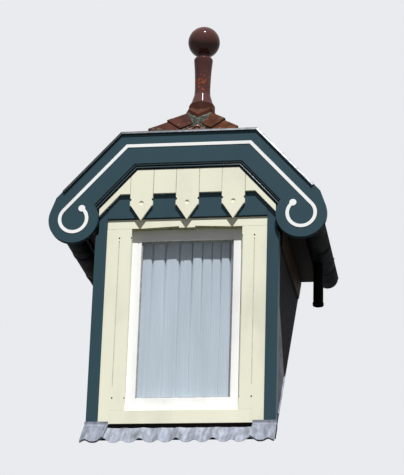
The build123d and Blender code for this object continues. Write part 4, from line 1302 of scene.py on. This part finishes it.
def build_floor(stage):
    """Wide pale floor, well below the dormer, because the camera looks up at it."""
    material, tree, _ = new_material("pale_floor")
    camera_ray = add_node(tree, "ShaderNodeLightPath", output="Is Camera Ray")
    glossy_ray = add_node(tree, "ShaderNodeLightPath", output="Is Glossy Ray")
    seen = add_node(tree, "ShaderNodeMath", {0: camera_ray, 1: glossy_ray}, operation="MAXIMUM")
    stops = ((0.0, linear("#44443C")), (1.0, linear("#DADCDF")))
    pale = add_node(tree, "ShaderNodeValToRGB", {"Fac": seen}, stops=stops)
    finished(material, {"Base Color": pale, "Roughness": 0.9})
    bm = bmesh.new()
    bmesh.ops.create_circle(bm, cap_ends=True, segments=96, radius=60.0)
    bmesh.ops.translate(bm, verts=bm.verts, vec=(0, 0, -stage.floor_depth))
    mesh = bpy.data.meshes.new("floor")
    bm.to_mesh(mesh)
    bm.free()
    floor = bpy.data.objects.new("floor", mesh)
    floor.data.materials.append(material)
    bpy.context.scene.collection.objects.link(floor)


def build_lights(scene, stage):
    """High front key light and an even fill; the camera sees a pale background."""
    key = bpy.data.lights.new("key", "SUN")
    key.energy = stage.key_strength
    key.angle = math.radians(1.0)
    lamp = bpy.data.objects.new("key", key)
    lamp.rotation_euler = Vector(stage.sun).to_track_quat("Z", "Y").to_euler()
    scene.collection.objects.link(lamp)
    world = bpy.data.worlds.new("studio")
    world.use_nodes = True
    tree = world.node_tree
    tree.nodes.clear()
    sky = {"Color": linear("#EEF3FF"), "Strength": stage.sky_strength}
    even = add_node(tree, "ShaderNodeBackground", sky)
    seen = add_node(tree, "ShaderNodeBackground", {"Color": linear("#E9EBEE"), "Strength": 1.0})
    camera_ray = add_node(tree, "ShaderNodeLightPath", output="Is Camera Ray")
    glossy_ray = add_node(tree, "ShaderNodeLightPath", output="Is Glossy Ray")
    passing_ray = add_node(tree, "ShaderNodeLightPath", output="Is Transmission Ray")
    mirrored = add_node(tree, "ShaderNodeMath", {0: glossy_ray, 1: passing_ray}, operation="MAXIMUM")
    pale = add_node(tree, "ShaderNodeMath", {0: camera_ray, 1: mirrored}, operation="MAXIMUM")
    mixed = add_node(tree, "ShaderNodeMixShader", {0: pale, 1: even, 2: seen})
    add_node(tree, "ShaderNodeOutputWorld", {"Surface": mixed})
    scene.world = world


def build_camera(scene, stage):
    """Camera at the photograph's viewing angle."""
    forward = Vector((-math.sin(stage.yaw) * math.cos(stage.pitch),
                      math.cos(stage.yaw) * math.cos(stage.pitch), math.sin(stage.pitch)))
    level = Vector((math.cos(stage.yaw), math.sin(stage.yaw), 0))
    upright = level.cross(forward)
    right = math.cos(stage.roll) * level + math.sin(stage.roll) * upright
    up = math.cos(stage.roll) * upright - math.sin(stage.roll) * level
    picture_height = 475
    data = bpy.data.cameras.new("camera")
    data.sensor_fit = "VERTICAL"
    data.sensor_height = 24.0
    data.lens = stage.focal_px * data.sensor_height / picture_height
    data.clip_end = 200.0
    camera = bpy.data.objects.new("camera", data)
    axes = Matrix((right, up, -forward)).transposed()
    camera.matrix_world = Matrix.Translation(Vector(stage.target) - forward * stage.distance) @ axes.to_4x4()
    scene.collection.objects.link(camera)
    scene.camera = camera


class DORMER_OT_stage(bpy.types.Operator):
    """Sets the floor, the soft studio light and the camera"""
    bl_idname = "dormer.stage"
    bl_label = "Stage"

    def execute(self, context):
        scene = context.scene
        scene.view_settings.view_transform = "Standard"
        build_floor(scene.dormer_stage)
        build_lights(scene, scene.dormer_stage)
        build_camera(scene, scene.dormer_stage)
        return {"FINISHED"}


STEPS = (DORMER_OT_front, DORMER_OT_casement, DORMER_OT_curtain, DORMER_OT_bargeboard, DORMER_OT_valance,
         DORMER_OT_cheeks, DORMER_OT_roof_timber, DORMER_OT_tiles, DORMER_OT_caps, DORMER_OT_finial,
         DORMER_OT_eaves, DORMER_OT_leadwork, DORMER_OT_stage)


class DORMER_PT_panel(bpy.types.Panel):
    """Lists the dormer's steps"""
    bl_idname = "DORMER_PT_panel"
    bl_label = "Dormer window"
    bl_space_type = "VIEW_3D"
    bl_region_type = "UI"
    bl_category = "Dormer"

    def draw(self, context):
        for step in STEPS:
            self.layout.operator(step.bl_idname)


CLASSES = (DormerFinishes, DormerDetails, DormerStage) + STEPS + (DORMER_PT_panel,)


def register():
    for cls in CLASSES:
        bpy.utils.register_class(cls)
    bpy.types.Scene.dormer_finishes = bpy.props.PointerProperty(type=DormerFinishes)
    bpy.types.Scene.dormer_details = bpy.props.PointerProperty(type=DormerDetails)
    bpy.types.Scene.dormer_stage = bpy.props.PointerProperty(type=DormerStage)


def unregister():
    del bpy.types.Scene.dormer_stage
    del bpy.types.Scene.dormer_details
    del bpy.types.Scene.dormer_finishes
    for cls in reversed(CLASSES):
        bpy.utils.unregister_class(cls)


def main():
    """Runs each step."""
    register()
    bpy.ops.dormer.front()
    bpy.ops.dormer.casement()
    bpy.ops.dormer.curtain()
    bpy.ops.dormer.bargeboard()
    bpy.ops.dormer.valance()
    bpy.ops.dormer.cheeks()
    bpy.ops.dormer.roof_timber()
    bpy.ops.dormer.tiles()
    bpy.ops.dormer.caps()
    bpy.ops.dormer.finial()
    bpy.ops.dormer.eaves()
    bpy.ops.dormer.leadwork()
    bpy.ops.dormer.stage()


if __name__ == "__main__":
    main()
